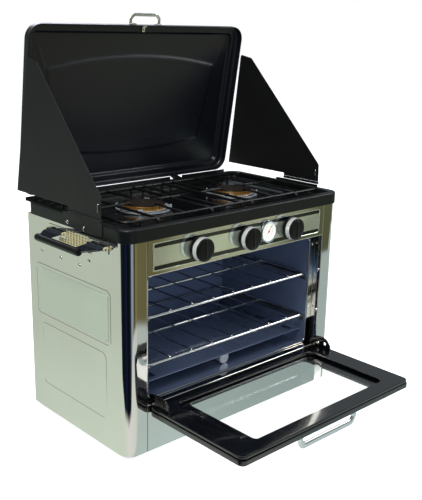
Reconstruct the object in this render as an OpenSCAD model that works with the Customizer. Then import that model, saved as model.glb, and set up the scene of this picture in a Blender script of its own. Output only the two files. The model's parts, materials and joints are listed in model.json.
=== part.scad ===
// Portable gas oven with a two-burner cook-top, a folding lid and a drop-down glass door.
// Millimetres. X is to the right, Y to the back, Z up. Inside the modules the cabinet's front
// face is at Y = 0 and its lower edge at Z = 0; place() then moves the whole to its origin.

/* [Cabinet] */
// Width of the sheet-metal cabinet
body_w = 520; // [480:1:580]
// Depth of the sheet-metal cabinet
body_d = 293; // [280:1:330]
// Height of the cabinet up to the cook-top band
body_h = 372; // [365:1:420]
// Thickness of the cabinet sheet
sheet = 1; // [0.8:0.1:1.4]
// Radius of the two rounded front corners
corner_r = 22; // [10:1:32]
// Width of each front column beside the oven opening
column_w = 43; // [38:1:60]
// Depth that the jambs, the sill and the lintel fold back
jamb_d = 18; // [17:1:24]
// Height of the control panel
panel_h = 60; // [56:1:64]
// Height of the fixed front panel under the door
lower_h = 86; // [80:1:96]
// Height of the rubber feet
foot_h = 8; // [5:1:14]
// Radius of the rubber feet
foot_r = 13; // [9:1:18]
// Distance of the feet from the cabinet's sides
foot_inset = 34; // [24:1:60]

/* [Cook-top] */
// Height of the black band round the cook-top
band_h = 22; // [20:1:26]
// How far the band stands proud of the cabinet
overhang = 3; // [2:0.5:5]
// Thickness of the cook-top and lid sheet
steel = 1.2; // [1:0.1:1.5]
// Depth of the sunken cook-top well
well_d = 11; // [9:1:13]
// Width of the flat rim round the well
well_rim = 14; // [12:1:18]
// Distance of each burner from the middle
burner_x = 110; // [100:1:118]
// Radius of the drip bowl under each burner
bowl_r = 51; // [46:1:54]
// Radius of the brass burner head
head_r = 39; // [32:1:41]
// Radius of the burner cap
cap_r = 31; // [24:1:34]
// Diameter of the pot grate wire
grate_wire = 5; // [4:0.5:6]
// Height of the grate's top above the band
grate_rise = 5; // [4.5:0.1:5.2]
// Distance of the grate's outer wire from the band's edge
grate_inset = 28; // [25:1:36]

/* [Lid] */
// How much narrower the lid is than the band, on each side
lid_side = 8; // [7.5:0.5:12]
// How far the lid reaches past the band's rear edge
lid_over = 6; // [5:0.5:7]
// Depth of the whole lid
lid_depth = 24; // [24:1:30]
// Depth of the raised middle of the lid
lid_step = 8; // [5:1:9]
// Width of the ledge round the raised middle
lid_ledge = 14; // [10:1:18]
// Corner radius of the lid
lid_r = 27; // [20:1:34]
// Gap between the band and the rim of the closed lid
lid_gap = 9.4; // [9:0.1:11]
// Forward lean of the open lid, in degrees
lid_lean = 9; // [5:1:9]
// Distance from the lid's edge back to its hinge pin
hinge_back = 4; // [3:0.5:6]
// Distance from the lid's rim down to its hinge pin
hinge_drop = 16; // [15:0.5:18]
// Distance of the two lid hinges from the middle
hinge_x = 110; // [95:1:120]
// Width of the lid's bail handle
lid_handle_w = 69; // [50:1:90]
// How far the lid's bail handle stands out
lid_handle_h = 20; // [14:1:26]

/* [Wind baffles] */
// Height of the baffles above their hinge
baffle_h = 244; // [200:1:246]
// Height of the baffles' short front edge
baffle_front = 38; // [25:1:70]
// Distance from the cabinet's front to the baffles' front edge
baffle_y0 = 57; // [30:1:70]
// Gap between the open lid's rim and the baffles' rear edge
baffle_back = 1.6; // [1.4:0.1:10]
// Length of the baffles' top edge
baffle_top = 31; // [20:1:50]
// Inward lean of the raised baffles, in degrees
baffle_lean = 2; // [1:0.1:2.2]
// Length of the baffle hinges
baffle_leaf = 93; // [70:1:120]

/* [Side handles] */
// Length of the side handles' grip
grip_l = 125; // [100:1:150]
// Diameter of the grip
grip_d = 13; // [10:1:15]
// Distance from the handle's pivot to its grip
grip_out = 34; // [28:1:44]
// Droop of the raised handle, in degrees
grip_droop = 7; // [0:1:12]
// Length of the handle at its foot
handle_l = 167; // [150:1:190]
// Height of the handle's pivot below the cabinet's top
handle_drop = 15; // [13:1:24]

/* [Controls] */
// Diameter of the control knobs
knob_d = 42; // [34:1:44]
// Depth of the control knobs
knob_t = 22; // [14:1:24]
// Distance between neighbouring knobs
knob_pitch = 114; // [106:1:120]
// Height of the knobs above the panel's lower edge
knob_z = 32; // [31:1:35]
// Shift of the three knobs to the right of the middle
knob_shift = 2; // [0:1:4]
// Diameter of the thermometer's case
dial_d = 41; // [34:1:44]
// Radius of the valve stems
stem_r = 3; // [2.5:0.1:3.5]
// Radius of the gas pipe
pipe_r = 5; // [4:0.5:6]
// Outer radius of the gas inlet's thread
inlet_r = 8; // [7:0.1:10]
// Length of the gas inlet's thread
inlet_l = 14; // [10:1:20]

/* [Oven] */
// Distance from the door opening's side to the oven's inner wall
oven_side = 14; // [12:1:27]
// Distance from the oven's rear wall to the cabinet's back
oven_back = 25; // [24:1:45]
// Thickness of the insulation
wool = 8; // [5:1:8]
// Height of the lower rack above the cabinet's lower edge
low_rack_z = 145; // [138:1:170]
// Height of the upper rack above the cabinet's lower edge
high_rack_z = 231; // [200:1:260]
// Diameter of the wire round the racks
rack_wire = 5; // [4:0.5:6]
// Diameter of the cross wires of the racks
cross_wire = 3; // [2:0.5:3.5]
// Number of cross wires in each rack
rack_bars = 7; // [6:1:15]

/* [Door] */
// Thickness of the door
door_t = 14; // [13:0.5:16]
// Gap round the closed door
door_gap = 3; // [2.5:0.5:4]
// Half of the width of the door's window
window_hw = 151; // [120:1:165]
// Distance from the door's upper edge to the window
window_end = 33; // [30:1:44]
// Distance from the door's hinge edge to the window
window_y = 24; // [22:1:28]
// Thickness of the door glass
glass_t = 4; // [3:0.5:4]
// Length of the door's handle
door_handle_w = 140; // [100:1:200]
// Distance from the door to the middle of its handle
door_handle_out = 26; // [20:1:36]
// Diameter of the door's handle
door_handle_d = 9; // [7:0.5:11]

/* [Hidden] */
$fn = 48;

// Clearances between pieces that only rest or pass, and in running fits
seat = 0.3;
run = 0.05;
// Largest cut-through overshoot
cut = 1;

hw = body_w / 2;
open_hw = hw - column_w;
open_top = body_h - panel_h;
tuck = 9;
corner_cut = corner_r - 3;
flange_w = 12;

band_z0 = body_h + 0.5;
band_z1 = band_z0 + band_h;
band_hw = hw + overhang;
band_y0 = -overhang;
band_y1 = body_d + overhang;
band_r = corner_r + overhang;
well_z = band_z1 - well_d;
burner_y = body_d / 2;
bowl_hole_r = bowl_r - 7;
bowl_depth = 6;
neck_r = 11;
tube_r = 7;
grate_z = band_z1 + grate_rise - grate_wire / 2;
grate_hw = band_hw - grate_inset;
grate_y0 = band_y0 + grate_inset + 10;
grate_y1 = band_y1 - grate_inset - 10;
grate_r = 14;
finger_r = head_r + 5;

lid_hw = band_hw - lid_side;
lid_rim = band_z1 + lid_gap;
lid_y1 = band_y1 + lid_over;
lid_y0 = band_y0 - lid_over + 1;
lid_py = lid_y1 + hinge_back;
lid_pz = lid_rim - hinge_drop;
lid_open = 90 - lid_lean;
hinge_w = 18;
pin_r = 2;
barrel_r = 4;
rail_hw = lid_hw - 5;
rail_y1 = lid_py + 11;
rail_z = band_z1 - 5.3;
knuckle_w = 6;

leaf_t = steel;
baffle_pin_r = 1.2;
baffle_barrel_r = 2.6;
baffle_x = band_hw + baffle_barrel_r;
baffle_z = band_z1 + 6.6;
baffle_leaf_y1 = baffle_y0 + baffle_leaf;
// The open lid's rim at its lower end, which the baffles' rear edge runs along
rim_open_y = lid_py + hinge_drop * sin(lid_open) - hinge_back * cos(lid_open);
rim_open_z = lid_pz + hinge_drop * cos(lid_open) + hinge_back * sin(lid_open);
baffle_y1 = rim_open_y - (baffle_z - rim_open_z) * tan(lid_lean) - baffle_back;
baffle_top_y1 = baffle_y1 - baffle_h * tan(lid_lean);
baffle_top_y0 = baffle_top_y1 - baffle_top;
baffle_low_z = 8;
knuckle_l = baffle_leaf / 5;
clip_r = 1;
clip_y = baffle_y0 + 7;
clip_z0 = 14;
clip_z1 = 26;

handle_x = hw + 6.5;
handle_z = body_h - handle_drop;
handle_y = body_d * 0.452;
handle_y0 = handle_y - handle_l / 2;
handle_y1 = handle_y + handle_l / 2;
arm_t = 2.5;
arm_w = 46;
arm_barrel_r = 3.5;
lug_w = 4;
vent_y0 = handle_y - 57;
vent_y1 = handle_y + 58;
vent_z0 = handle_z - 26;
vent_z1 = handle_z - 4;
vent_edge = 3;

knob_zc = open_top + knob_z;
knobs = [knob_shift - knob_pitch, knob_shift, knob_shift + knob_pitch];
dial_x = knob_pitch / 2;
dial_zc = knob_zc + 2;
overlay_hw = open_hw - 10;
overlay_z0 = open_top + 7;
overlay_z1 = body_h - 5;
overlay_t = 0.8;
knob_grip_w = 8;
knob_y = -overlay_t - 3;
valve_y0 = 13;
valve_y1 = 45;
valve_hw = 11;
pipe_y = 36;
pipe_z = knob_zc - valve_hw - pipe_r;
dial_face_y = -5.6;
case_y = -8.4;
probe_r = 2.5;
probe_y = 86;

oven_hw = open_hw - oven_side;
oven_y0 = jamb_d;
oven_y1 = body_d - oven_back;
oven_z0 = lower_h + 2;
oven_z1 = open_top - 6;
flange_z0 = lower_h - 1.5;
flange_z1 = open_top + 1.5;
feed_y = (oven_y1 + sheet + wool + body_d - sheet) / 2;
feed_r = 3.5;
oven_burner_r = 11;
oven_burner_z = oven_z0 + oven_burner_r + seat;
spreader_z = oven_burner_z + oven_burner_r + 5;
guide_t = 1.5;
guide_w = 9;
rack_hw = oven_hw - 1.5 - rack_wire / 2;
rack_y0 = oven_y0 + 4 + rack_wire / 2;
rack_y1 = oven_y1 - 8;

door_hw = open_hw - door_gap;
door_y1 = -door_gap;
door_len = open_top - lower_h - 2 * door_gap;
door_y0 = door_y1 - door_len;
door_z1 = lower_h;
door_z0 = door_z1 - door_t;
door_split = door_z1 - 6;
door_py = 6;
door_pz = lower_h - 6;
door_r = 16;
door_pin_r = 2.5;
recess_out = 22;
window_y1 = door_y1 - window_y;
window_y0 = door_y0 + window_end;
ear_x = oven_hw + sheet + 3;
ear_t = 2;
ear_r = 26;
ear_hub_r = 7;
ear_lobe_y = door_py - 26;
ear_lobe_r = 15;
ear_room = 60;
handle_bar_y = door_y0 + 11;
handle_bar_z = door_z0 - door_handle_out;

// The rearmost point of the open lid, which sets the middle of the object's depth
lid_back_y = lid_py + (hinge_drop + lid_depth) * sin(lid_open)
  - (hinge_back + lid_ledge) * cos(lid_open);
origin_y = (door_y0 + lid_back_y) / 2;

steel_colour = "#c9ccc4";
polished = "#d9dad6";
black = "#15171a";
dark_sheet = "#2b302d";

module place() translate([0, -origin_y, foot_h]) children();

module both_sides() {
  children();
  mirror([1, 0, 0]) children();
}

module on_side(side) mirror([side < 0 ? 1 : 0, 0, 0]) children();

// A rectangle with round corners, from squares and circles
module rounded(x0, y0, x1, y1, r) {
  translate([x0 + r, y0]) square([x1 - x0 - 2 * r, y1 - y0]);
  translate([x0, y0 + r]) square([x1 - x0, y1 - y0 - 2 * r]);
  for (x = [x0 + r, x1 - r], y = [y0 + r, y1 - r]) translate([x, y]) circle(r);
}

// A box from one corner to the opposite one
module box(a, b) translate(a) cube(b - a);

module slab(x0, y0, x1, y1, r, z0, z1)
  translate([0, 0, z0]) linear_extrude(z1 - z0) rounded(x0, y0, x1, y1, r);

module rod_x(x0, x1, y, z, r) translate([x0, y, z]) rotate([0, 90, 0]) cylinder(h = x1 - x0, r = r);
module rod_y(y0, y1, x, z, r) translate([x, y0, z]) rotate([-90, 0, 0]) cylinder(h = y1 - y0, r = r);
module rod_z(z0, z1, x, y, r) translate([x, y, z0]) cylinder(h = z1 - z0, r = r);

// A plate that stands in the YZ plane, from the points of its outline
module plate_yz(points, x0, x1)
  translate([x0, 0, 0]) rotate([90, 0, 90]) linear_extrude(x1 - x0) polygon(points);

// A wire loop of straight rods with balls at its corners, lying flat
module wire_loop(x0, y0, x1, y1, z, r) {
  rod_x(x0, x1, y0, z, r);
  rod_x(x0, x1, y1, z, r);
  rod_y(y0, y1, x0, z, r);
  rod_y(y0, y1, x1, z, r);
  for (x = [x0, x1], y = [y0, y1]) translate([x, y, z]) sphere(r);
}

// Cabinet

module panel_holes() {
  for (y = screw_ys) rod_x(hw - 2 * sheet, hw + cut, y, screw_z, screw_r + 0.2);
  rod_x(hw - 2 * sheet, hw + cut, latch_screw_y, latch_screw_z, screw_r + 0.2);
  box([hw - 2 * sheet, vent_y0, vent_z0], [hw + cut, vent_y1, vent_z1]);
}

module side_panel() {
  difference() {
    linear_extrude(body_h + tuck) {
      translate([hw - sheet, corner_r]) square([sheet, body_d - corner_r]);
      intersection() {
        translate([hw - corner_r, corner_r]) difference() {
          circle(corner_r);
          circle(corner_r - sheet);
        }
        translate([hw - corner_r, 0]) square(corner_r);
      }
      translate([open_hw, 0]) square([column_w - corner_r, sheet]);
      translate([open_hw, 0]) square([sheet, jamb_d]);
    }
    panel_holes();
    box([hw - 2 * sheet, body_d - corner_cut, body_h], [hw + cut, body_d + cut, body_h + tuck + cut]);
    rod_x(open_hw - cut, open_hw + sheet + cut, door_py, door_pz, door_pin_r + run);
  }
}

module left_side_panel() color(steel_colour) place() on_side(-1) side_panel();

module right_side_panel() color(steel_colour) place() difference() {
  side_panel();
  rod_x(hw - 2 * sheet, hw + cut, pipe_y, pipe_z, inlet_r + seat);
}

module control_panel() color(polished) place() difference() {
  union() {
    box([-open_hw + seat, 0, open_top], [open_hw - seat, sheet, body_h + tuck]);
    box([-open_hw + seat, 0, open_top], [open_hw - seat, jamb_d, open_top + sheet]);
  }
  for (x = knobs) rod_y(-cut, 2 * sheet, x, knob_zc, stem_r + 2);
  rod_y(-cut, 2 * sheet, dial_x, dial_zc, dial_d / 2 - 6);
}

module panel_overlay() color("#aeb2b0") place() difference() {
  rotate([90, 0, 0]) linear_extrude(overlay_t)
    rounded(-overlay_hw, overlay_z0, overlay_hw, overlay_z1, 5);
  for (x = knobs) rod_y(-2 * overlay_t, cut, x, knob_zc, stem_r + 2);
  rod_y(-2 * overlay_t, cut, dial_x, dial_zc, dial_d / 2 - 6);
}

module lower_front_panel() color(polished) place() difference() {
  union() {
    box([-open_hw + seat, 0, 0], [open_hw - seat, sheet, lower_h]);
    box([-open_hw + seat, 0, lower_h - sheet], [open_hw - seat, jamb_d, lower_h]);
  }
  both_sides() box([ear_x - 2, -cut, door_pz - ear_hub_r - 2],
    [ear_x + ear_t + 2, jamb_d + cut, lower_h + cut]);
}

module back_panel() color(steel_colour) place() {
  inner = hw - sheet;
  box([-inner, body_d - sheet, 0], [inner, body_d, body_h]);
  box([-hw + corner_cut, body_d - sheet, body_h - cut], [hw - corner_cut, body_d, body_h + tuck]);
  both_sides() box([inner - sheet, body_d - flange_w, 0], [inner, body_d, body_h]);
}

module base_pan() color(steel_colour) place() difference() {
  inner = hw - sheet;
  union() {
    box([-hw + corner_r, sheet, 0], [hw - corner_r, body_d - sheet, sheet]);
    box([-inner, corner_r, 0], [inner, body_d - flange_w, sheet]);
  }
  feet_at() rod_z(-cut, 2 * sheet, 0, 0, foot_stud_r + 0.2);
  both_sides() box([open_hw - seat, 0, -cut], [open_hw + sheet + seat, jamb_d + seat, 2 * sheet]);
}

module feet_at() both_sides() for (y = [foot_inset, body_d - foot_inset])
  translate([hw - foot_inset, y, 0]) children();

module feet() color("#17181a") place() feet_at() {
  translate([0, 0, -foot_h]) cylinder(h = foot_h, r1 = foot_r - 2, r2 = foot_r);
  rod_z(-cut, 5, 0, 0, foot_stud_r);
  rod_z(sheet, 5, 0, 0, 6);
}

module rating_plate() color("#e8e8e4") place() on_side(-1)
  translate([hw, 0, 0]) rotate([90, 0, 90]) linear_extrude(0.5)
    rounded(plate_y0, plate_z0, plate_y0 + plate_l, plate_z0 + plate_h, 6);

// Screws in the side panels, and a bolt and a wire hook on each side of the band
module cabinet_screws() color("#b9bcb8") place() both_sides() {
  for (y = screw_ys) side_screw(hw, y, screw_z, 6);
  side_screw(hw, latch_screw_y, latch_screw_z, 6);
  side_screw(band_hw, bolt_y, bolt_z, 2 * steel);
  hook_wire();
}

module side_screw(x, y, z, shank) {
  rod_x(x - shank, x + 0.1, y, z, screw_r);
  rod_x(x, x + 1.6, y, z, screw_r + 1.8);
}

// The small wire hook on the band that holds the baffle's clip
module hook_wire() {
  x = band_hw + leaf_t + seat;
  rod_z(hook_z0, hook_z1, x + clip_r, hook_y, clip_r);
  for (z = [hook_z0, hook_z1]) rod_x(band_hw - 2 * steel, x + clip_r, hook_y, z, clip_r);
}

// Cook-top

module cooktop_tray() color(black) place() difference() {
  slab(-band_hw, band_y0, band_hw, band_y1, band_r, band_z0, band_z1);
  // hollow under the rim
  difference() {
    slab(-band_hw + steel, band_y0 + steel, band_hw - steel, band_y1 - steel,
      band_r - steel, band_z0 - cut, band_z1 - steel);
    slab(-band_hw + well_rim, band_y0 + well_rim, band_hw - well_rim, band_y1 - well_rim,
      band_r - 4, band_z0 - 2 * cut, band_z1);
  }
  // under the well's floor
  slab(-band_hw + steel, band_y0 + steel, band_hw - steel, band_y1 - steel,
    band_r - steel, band_z0 - cut, well_z - steel);
  // the well itself
  slab(-band_hw + well_rim + steel, band_y0 + well_rim + steel,
    band_hw - well_rim - steel, band_y1 - well_rim - steel, band_r - 4 - steel, well_z, band_z1 + cut);
  both_sides() rod_z(band_z0 - cut, band_z1, burner_x, burner_y, bowl_hole_r);
  both_sides() {
    rod_x(band_hw - 2 * steel, band_hw + cut, bolt_y, bolt_z, screw_r + 0.2);
    for (z = [hook_z0, hook_z1])
      rod_x(band_hw - 2 * steel, band_hw + cut, hook_y, z, clip_r + 0.2);
    box([band_hw - 2 * steel, baffle_y0 - 27, bolt_z + 3], [band_hw + cut, baffle_y0 - 3, bolt_z + 6]);
  }
}

module at_burners() both_sides() translate([burner_x, burner_y, 0]) children();

module drip_bowls() color("#c5c7c4") place() at_burners() rotate_extrude() polygon([
  [neck_r + 1, well_z - bowl_depth],
  [bowl_hole_r - 4, well_z - bowl_depth],
  [bowl_hole_r - 1, well_z],
  [bowl_r, well_z],
  [bowl_r, well_z + 4],
  [bowl_r - 1, well_z + 4],
  [bowl_r - 1, well_z + 1],
  [bowl_hole_r - 2, well_z + 1],
  [bowl_hole_r - 5, well_z - bowl_depth + 1],
  [neck_r + 1, well_z - bowl_depth + 1]
]);

// The burner head: a neck that stands on the mixing tube, a dish and a ring of ports
module burner_heads() color("#b9975a") place() at_burners() difference() {
  rotate_extrude() polygon([
    [0, head_z0],
    [neck_r, head_z0],
    [neck_r, well_z - 1],
    [head_r - 3, well_z + 1],
    [head_r, well_z + 4],
    [head_r, head_z1],
    [cap_r - 3, head_z1],
    [cap_r - 3, head_z1 - 4],
    [0, head_z1 - 4]
  ]);
  for (a = [0:15:345]) rotate([0, 0, a]) rod_x(head_r - 4, head_r + cut, 0, head_z1 - 2.5, 1);
}

module burner_caps() color("#26282a") place() at_burners() {
  rod_z(head_z1, head_z1 + 1.8, 0, 0, cap_r);
  rod_z(head_z1 - 4 + seat, head_z1 + 0.1, 0, 0, cap_r - 4);
}

module burner_tubes() color("#a8abab") place() at_burners() {
  rod_y(valve_y1 + seat - burner_y, 6, 0, knob_zc + 4, tube_r);
  rod_z(knob_zc + 4 - tube_r, head_z0, 0, 0, neck_r);
}

// Black wire grate: a loop, two bars between the burners and four fingers round each burner
module pot_grate() color(black) place() {
  r = grate_wire / 2;
  leg_z = well_z;
  wire_loop(-grate_hw, grate_y0, grate_hw, grate_y1, grate_z, r);
  both_sides() {
    rod_y(grate_y0, grate_y1, 24, grate_z, r);
    rod_x(24, burner_x - finger_r, burner_y, grate_z, r);
    rod_x(burner_x + finger_r, grate_hw, burner_y, grate_z, r);
    rod_y(grate_y0, burner_y - finger_r, burner_x, grate_z, r);
    rod_y(burner_y + finger_r, grate_y1, burner_x, grate_z, r);
    for (y = [grate_y0, grate_y1], x = [24, grate_hw - 30]) rod_z(leg_z, grate_z, x, y, r);
    for (x = [burner_x - 60, burner_x + 60]) rod_y(grate_y0, grate_y1, x, grate_z, r);
  }
  rod_x(-24, 24, burner_y, grate_z, r);
}

// Lid, drawn closed and then turned open about its hinge pins

module lid_pose() translate([0, lid_py, lid_pz]) rotate([-lid_open, 0, 0])
  translate([0, -lid_py, -lid_pz]) children();

module lid_shell() color(black) place() lid_pose() difference() {
  union() {
    slab(-lid_hw, lid_y0, lid_hw, lid_y1, lid_r, lid_rim, lid_rim + lid_depth - lid_step);
    slab(-lid_hw + lid_ledge, lid_y0 + lid_ledge, lid_hw - lid_ledge, lid_y1 - lid_ledge,
      lid_r - 6, lid_rim + cut, lid_rim + lid_depth);
  }
  slab(-lid_hw + steel, lid_y0 + steel, lid_hw - steel, lid_y1 - steel,
    lid_r - steel, lid_rim - cut, lid_rim + lid_depth - lid_step - steel);
  slab(-lid_hw + lid_ledge + steel, lid_y0 + lid_ledge + steel, lid_hw - lid_ledge - steel,
    lid_y1 - lid_ledge - steel, lid_r - 6 - steel, lid_rim, lid_rim + lid_depth - steel);
}

// One leg at each side, riveted to the lid's rear wall and rolled round the pin
module lid_hinge_legs() color("#3a3d3f") place() lid_pose() both_sides() difference() {
  union() {
    box([hinge_x - hinge_w / 2, lid_y1, lid_rim + 0.5],
      [hinge_x + hinge_w / 2, lid_y1 + 2, lid_rim + 14]);
    plate_yz([
      [lid_y1, lid_rim + 0.5],
      [lid_y1 + 2, lid_rim + 3],
      [lid_py + 2, lid_pz + 3.4],
      [lid_py - 3, lid_pz - 2]
    ], hinge_x - hinge_w / 2, hinge_x + hinge_w / 2);
    rod_x(hinge_x - hinge_w / 2, hinge_x + hinge_w / 2, lid_py, lid_pz, barrel_r);
  }
  rod_x(hinge_x - hinge_w, hinge_x + hinge_w, lid_py, lid_pz, pin_r + run);
}

// The rail on the back of the band, with the knuckles that hold the lid's pins
module lid_hinge_brackets() color("#3a3d3f") place() both_sides() difference() {
  outer = hinge_w / 2 + seat + knuckle_w;
  union() {
    box([0, band_y1, rail_z - 8], [rail_hw, band_y1 + steel, rail_z]);
    for (x = [[0, hinge_x - outer - 1], [hinge_x + outer + 1, rail_hw]]) {
      box([x[0], band_y1, rail_z - steel], [x[1], rail_y1, rail_z]);
      box([x[0], rail_y1 - steel, rail_z - steel], [x[1], rail_y1, band_z1]);
    }
    box([hinge_x - outer, band_y1, band_z0 + 3], [hinge_x + outer, band_y1 + 2, lid_pz]);
    for (x = [hinge_x - outer, hinge_x + outer - knuckle_w]) {
      box([x, band_y1, lid_pz - barrel_r], [x + knuckle_w, lid_py, lid_pz]);
      rod_x(x, x + knuckle_w, lid_py, lid_pz, barrel_r);
    }
  }
  rod_x(hinge_x - hinge_w, hinge_x + hinge_w, lid_py, lid_pz, pin_r + run);
}

// The pins of the lid, the baffles, the side handles and the door, all fixed in the cabinet
module hinge_pins() color("#9fa3a3") place() both_sides() {
  outer = hinge_w / 2 + seat + knuckle_w;
  rod_x(hinge_x - outer, hinge_x + outer, lid_py, lid_pz, pin_r);
  rod_y(baffle_y0, baffle_leaf_y1, baffle_x, baffle_z, baffle_pin_r);
  for (y = [handle_y0, handle_y1 - arm_w])
    rod_y(y - seat - lug_w, y + arm_w + seat + lug_w, handle_x, handle_z, pin_r);
  rod_x(ear_x - 1.5, open_hw + sheet + 1.5, door_py, door_pz, door_pin_r);
}

// The chrome bail on the lid's front edge, one bent strip with cut corners
module lid_handle() color("#d5d8da") place() lid_pose() {
  z = lid_rim + 9;
  w = lid_handle_w / 2;
  y = lid_y0 - lid_handle_h;
  difference() {
    translate([0, 0, z]) linear_extrude(2) polygon([
      [-w, lid_y0], [-w, y + 8], [-w + 8, y], [w - 8, y], [w, y + 8], [w, lid_y0]
    ]);
    translate([0, 0, z - cut]) linear_extrude(4) polygon([
      [-w + 12, lid_y0 - 4], [-w + 12, y + 11], [-w + 14, y + 8],
      [w - 14, y + 8], [w - 12, y + 11], [w - 12, lid_y0 - 4]
    ]);
  }
  box([-w, lid_y0 - 1.6, lid_rim + 2], [w, lid_y0, z + 2]);
}

// The small catch inside the lid, just behind the bail
module lid_catch() color("#e4e6e8") place() lid_pose() {
  top = lid_rim + lid_depth - lid_step - steel;
  box([-4, lid_y0 + steel, top - 5], [4, lid_y0 + steel + 3, top]);
  box([-4, lid_y0 + steel, top - 2], [4, lid_y0 + lid_ledge - 1, top]);
}

// Wind baffles, drawn upright at their hinge and then leaned inward

module baffle_pose() translate([baffle_x, 0, baffle_z]) rotate([0, -baffle_lean, 0]) children();

module baffle() baffle_pose() difference() {
  union() {
    plate_yz([
      [baffle_y0, baffle_barrel_r + seat],
      [baffle_y0, baffle_front],
      [baffle_top_y0, baffle_h - 6],
      [baffle_top_y1, baffle_h],
      [baffle_y1 - baffle_low_z * tan(lid_lean), baffle_low_z],
      [baffle_leaf_y1, baffle_low_z],
      [baffle_leaf_y1, baffle_barrel_r + seat]
    ], -steel / 2, steel / 2);
    for (i = [0, 2, 4]) {
      y0 = baffle_y0 + i * knuckle_l + (i == 0 ? 0 : seat / 2);
      y1 = baffle_y0 + (i + 1) * knuckle_l - (i == 4 ? 0 : seat / 2);
      rod_y(y0, y1, 0, 0, baffle_barrel_r);
      box([-steel / 2, y0, 0], [steel / 2, y1, baffle_barrel_r + 2 * seat]);
    }
  }
  rod_y(baffle_y0 - cut, baffle_leaf_y1 + cut, 0, 0, baffle_pin_r + run);
  for (z = [clip_z0, clip_z1]) rod_x(-cut - steel, steel + cut, clip_y, z, clip_r + 0.15);
}

module left_baffle() color(dark_sheet) place() on_side(-1) baffle();
module right_baffle() color(dark_sheet) place() on_side(1) baffle();

// The fixed hinge leaf on each side of the band, with a slanted rear edge
module baffle_leaves() color(dark_sheet) place() both_sides() difference() {
  union() {
    plate_yz([
      [baffle_y0, band_z0 + 1],
      [baffle_y0, baffle_z - 3],
      [baffle_leaf_y1 + 26, baffle_z - 3],
      [baffle_leaf_y1, band_z0 + 1]
    ], band_hw, band_hw + leaf_t);
    for (i = [1, 3]) {
      y0 = baffle_y0 + i * knuckle_l + seat / 2;
      y1 = baffle_y0 + (i + 1) * knuckle_l - seat / 2;
      rod_y(y0, y1, baffle_x, baffle_z, baffle_barrel_r);
      box([band_hw, y0, baffle_z - 4], [band_hw + leaf_t, y1, baffle_z]);
    }
  }
  rod_y(baffle_y0 - cut, baffle_leaf_y1 + cut, baffle_x, baffle_z, baffle_pin_r + run);
  rod_x(band_hw - cut, band_hw + 2 * cut + steel, bolt_y, bolt_z, screw_r + 2);
  for (z = [hook_z0, hook_z1])
    rod_x(band_hw - cut, band_hw + 2 * cut + steel, hook_y, z, clip_r + 0.2);
}

// A wire clip through two holes near the baffle's front lower corner
module baffle_clip() baffle_pose() {
  reach = steel / 2 + seat + clip_r;
  for (x = [-reach, reach]) rod_z(clip_z0, clip_z1, x, clip_y, clip_r);
  for (z = [clip_z0, clip_z1]) {
    rod_x(-reach, reach, clip_y, z, clip_r);
    for (x = [-reach, reach]) translate([x, clip_y, z]) sphere(clip_r);
  }
}

module left_baffle_clip() color("#c8cacc") place() on_side(-1) baffle_clip();
module right_baffle_clip() color("#c8cacc") place() on_side(1) baffle_clip();

// Side handles, drawn level at their pivot and then drooped

module handle_pose() translate([handle_x, 0, handle_z]) rotate([0, grip_droop, 0]) children();

module handle_grip() handle_pose() difference() {
  union() {
    rod_y(handle_y - grip_l / 2, handle_y + grip_l / 2, grip_out, 0, grip_d / 2);
    for (y = [handle_y - grip_l / 2, handle_y + grip_l / 2]) rod_y(y - 1.5, y + 1.5, grip_out, 0, 3);
  }
  for (y = [handle_y - grip_l / 2 - 2, handle_y + grip_l / 2 - arm_w / 2 - 5])
    box([0, y - cut, -arm_t / 2 - 0.2], [grip_out, y + arm_w / 2 + 8, arm_t / 2 + 0.2]);
}

module handle_arms() handle_pose() difference() {
  inner = (handle_l - grip_l) / 2;
  union() {
    for (flip = [0, 1]) translate([0, handle_y, 0]) mirror([0, flip, 0]) {
      translate([0, 0, -arm_t / 2]) linear_extrude(arm_t) polygon([
        [0, -handle_l / 2],
        [8, -handle_l / 2],
        [grip_out - 0.5, -grip_l / 2 + 1],
        [grip_out - 0.5, -grip_l / 2 + arm_w / 2],
        [10, -handle_l / 2 + arm_w],
        [0, -handle_l / 2 + arm_w]
      ]);
      rod_y(-handle_l / 2, -handle_l / 2 + arm_w, 0, 0, arm_barrel_r);
    }
  }
  rod_y(handle_y0 - cut, handle_y1 + cut, 0, 0, pin_r + run);
}

module left_handle_grip() color(black) place() on_side(-1) handle_grip();
module right_handle_grip() color(black) place() on_side(1) handle_grip();
module left_handle_arms() color("#20242c") place() on_side(-1) handle_arms();
module right_handle_arms() color("#20242c") place() on_side(1) handle_arms();

// Lugs on the side panels that hold the ends of the handle pins
module handle_brackets() color("#b5ac80") place() both_sides() difference() {
  for (y = [handle_y0, handle_y1 - arm_w]) {
    box([hw, y - seat - lug_w, handle_z - 9], [hw + 1.5, y + arm_w + seat + lug_w, handle_z + 9]);
    for (at = [y - seat - lug_w, y + arm_w + seat]) {
      rod_y(at, at + lug_w, handle_x, handle_z, arm_barrel_r);
      box([hw, at, handle_z - arm_barrel_r], [handle_x, at + lug_w, handle_z + arm_barrel_r]);
    }
  }
  for (y = [handle_y0, handle_y1 - arm_w])
    rod_y(y - seat - lug_w - cut, y + arm_w + seat + lug_w + cut, handle_x, handle_z, pin_r + run);
}

// Perforated screens behind the side vents
module vent_screens() color("#a89d6e") place() both_sides() difference() {
  box([hw - sheet - 1, vent_y0 - vent_edge, vent_z0 - vent_edge],
    [hw - sheet, vent_y1 + vent_edge, vent_z1 + vent_edge]);
  for (y = [vent_y0 + 4:8:vent_y1 - 4], z = [vent_z0 + 4:7:vent_z1 - 3])
    rod_x(hw - sheet - 2, hw, y, z, 2.4);
}

// Controls

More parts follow.
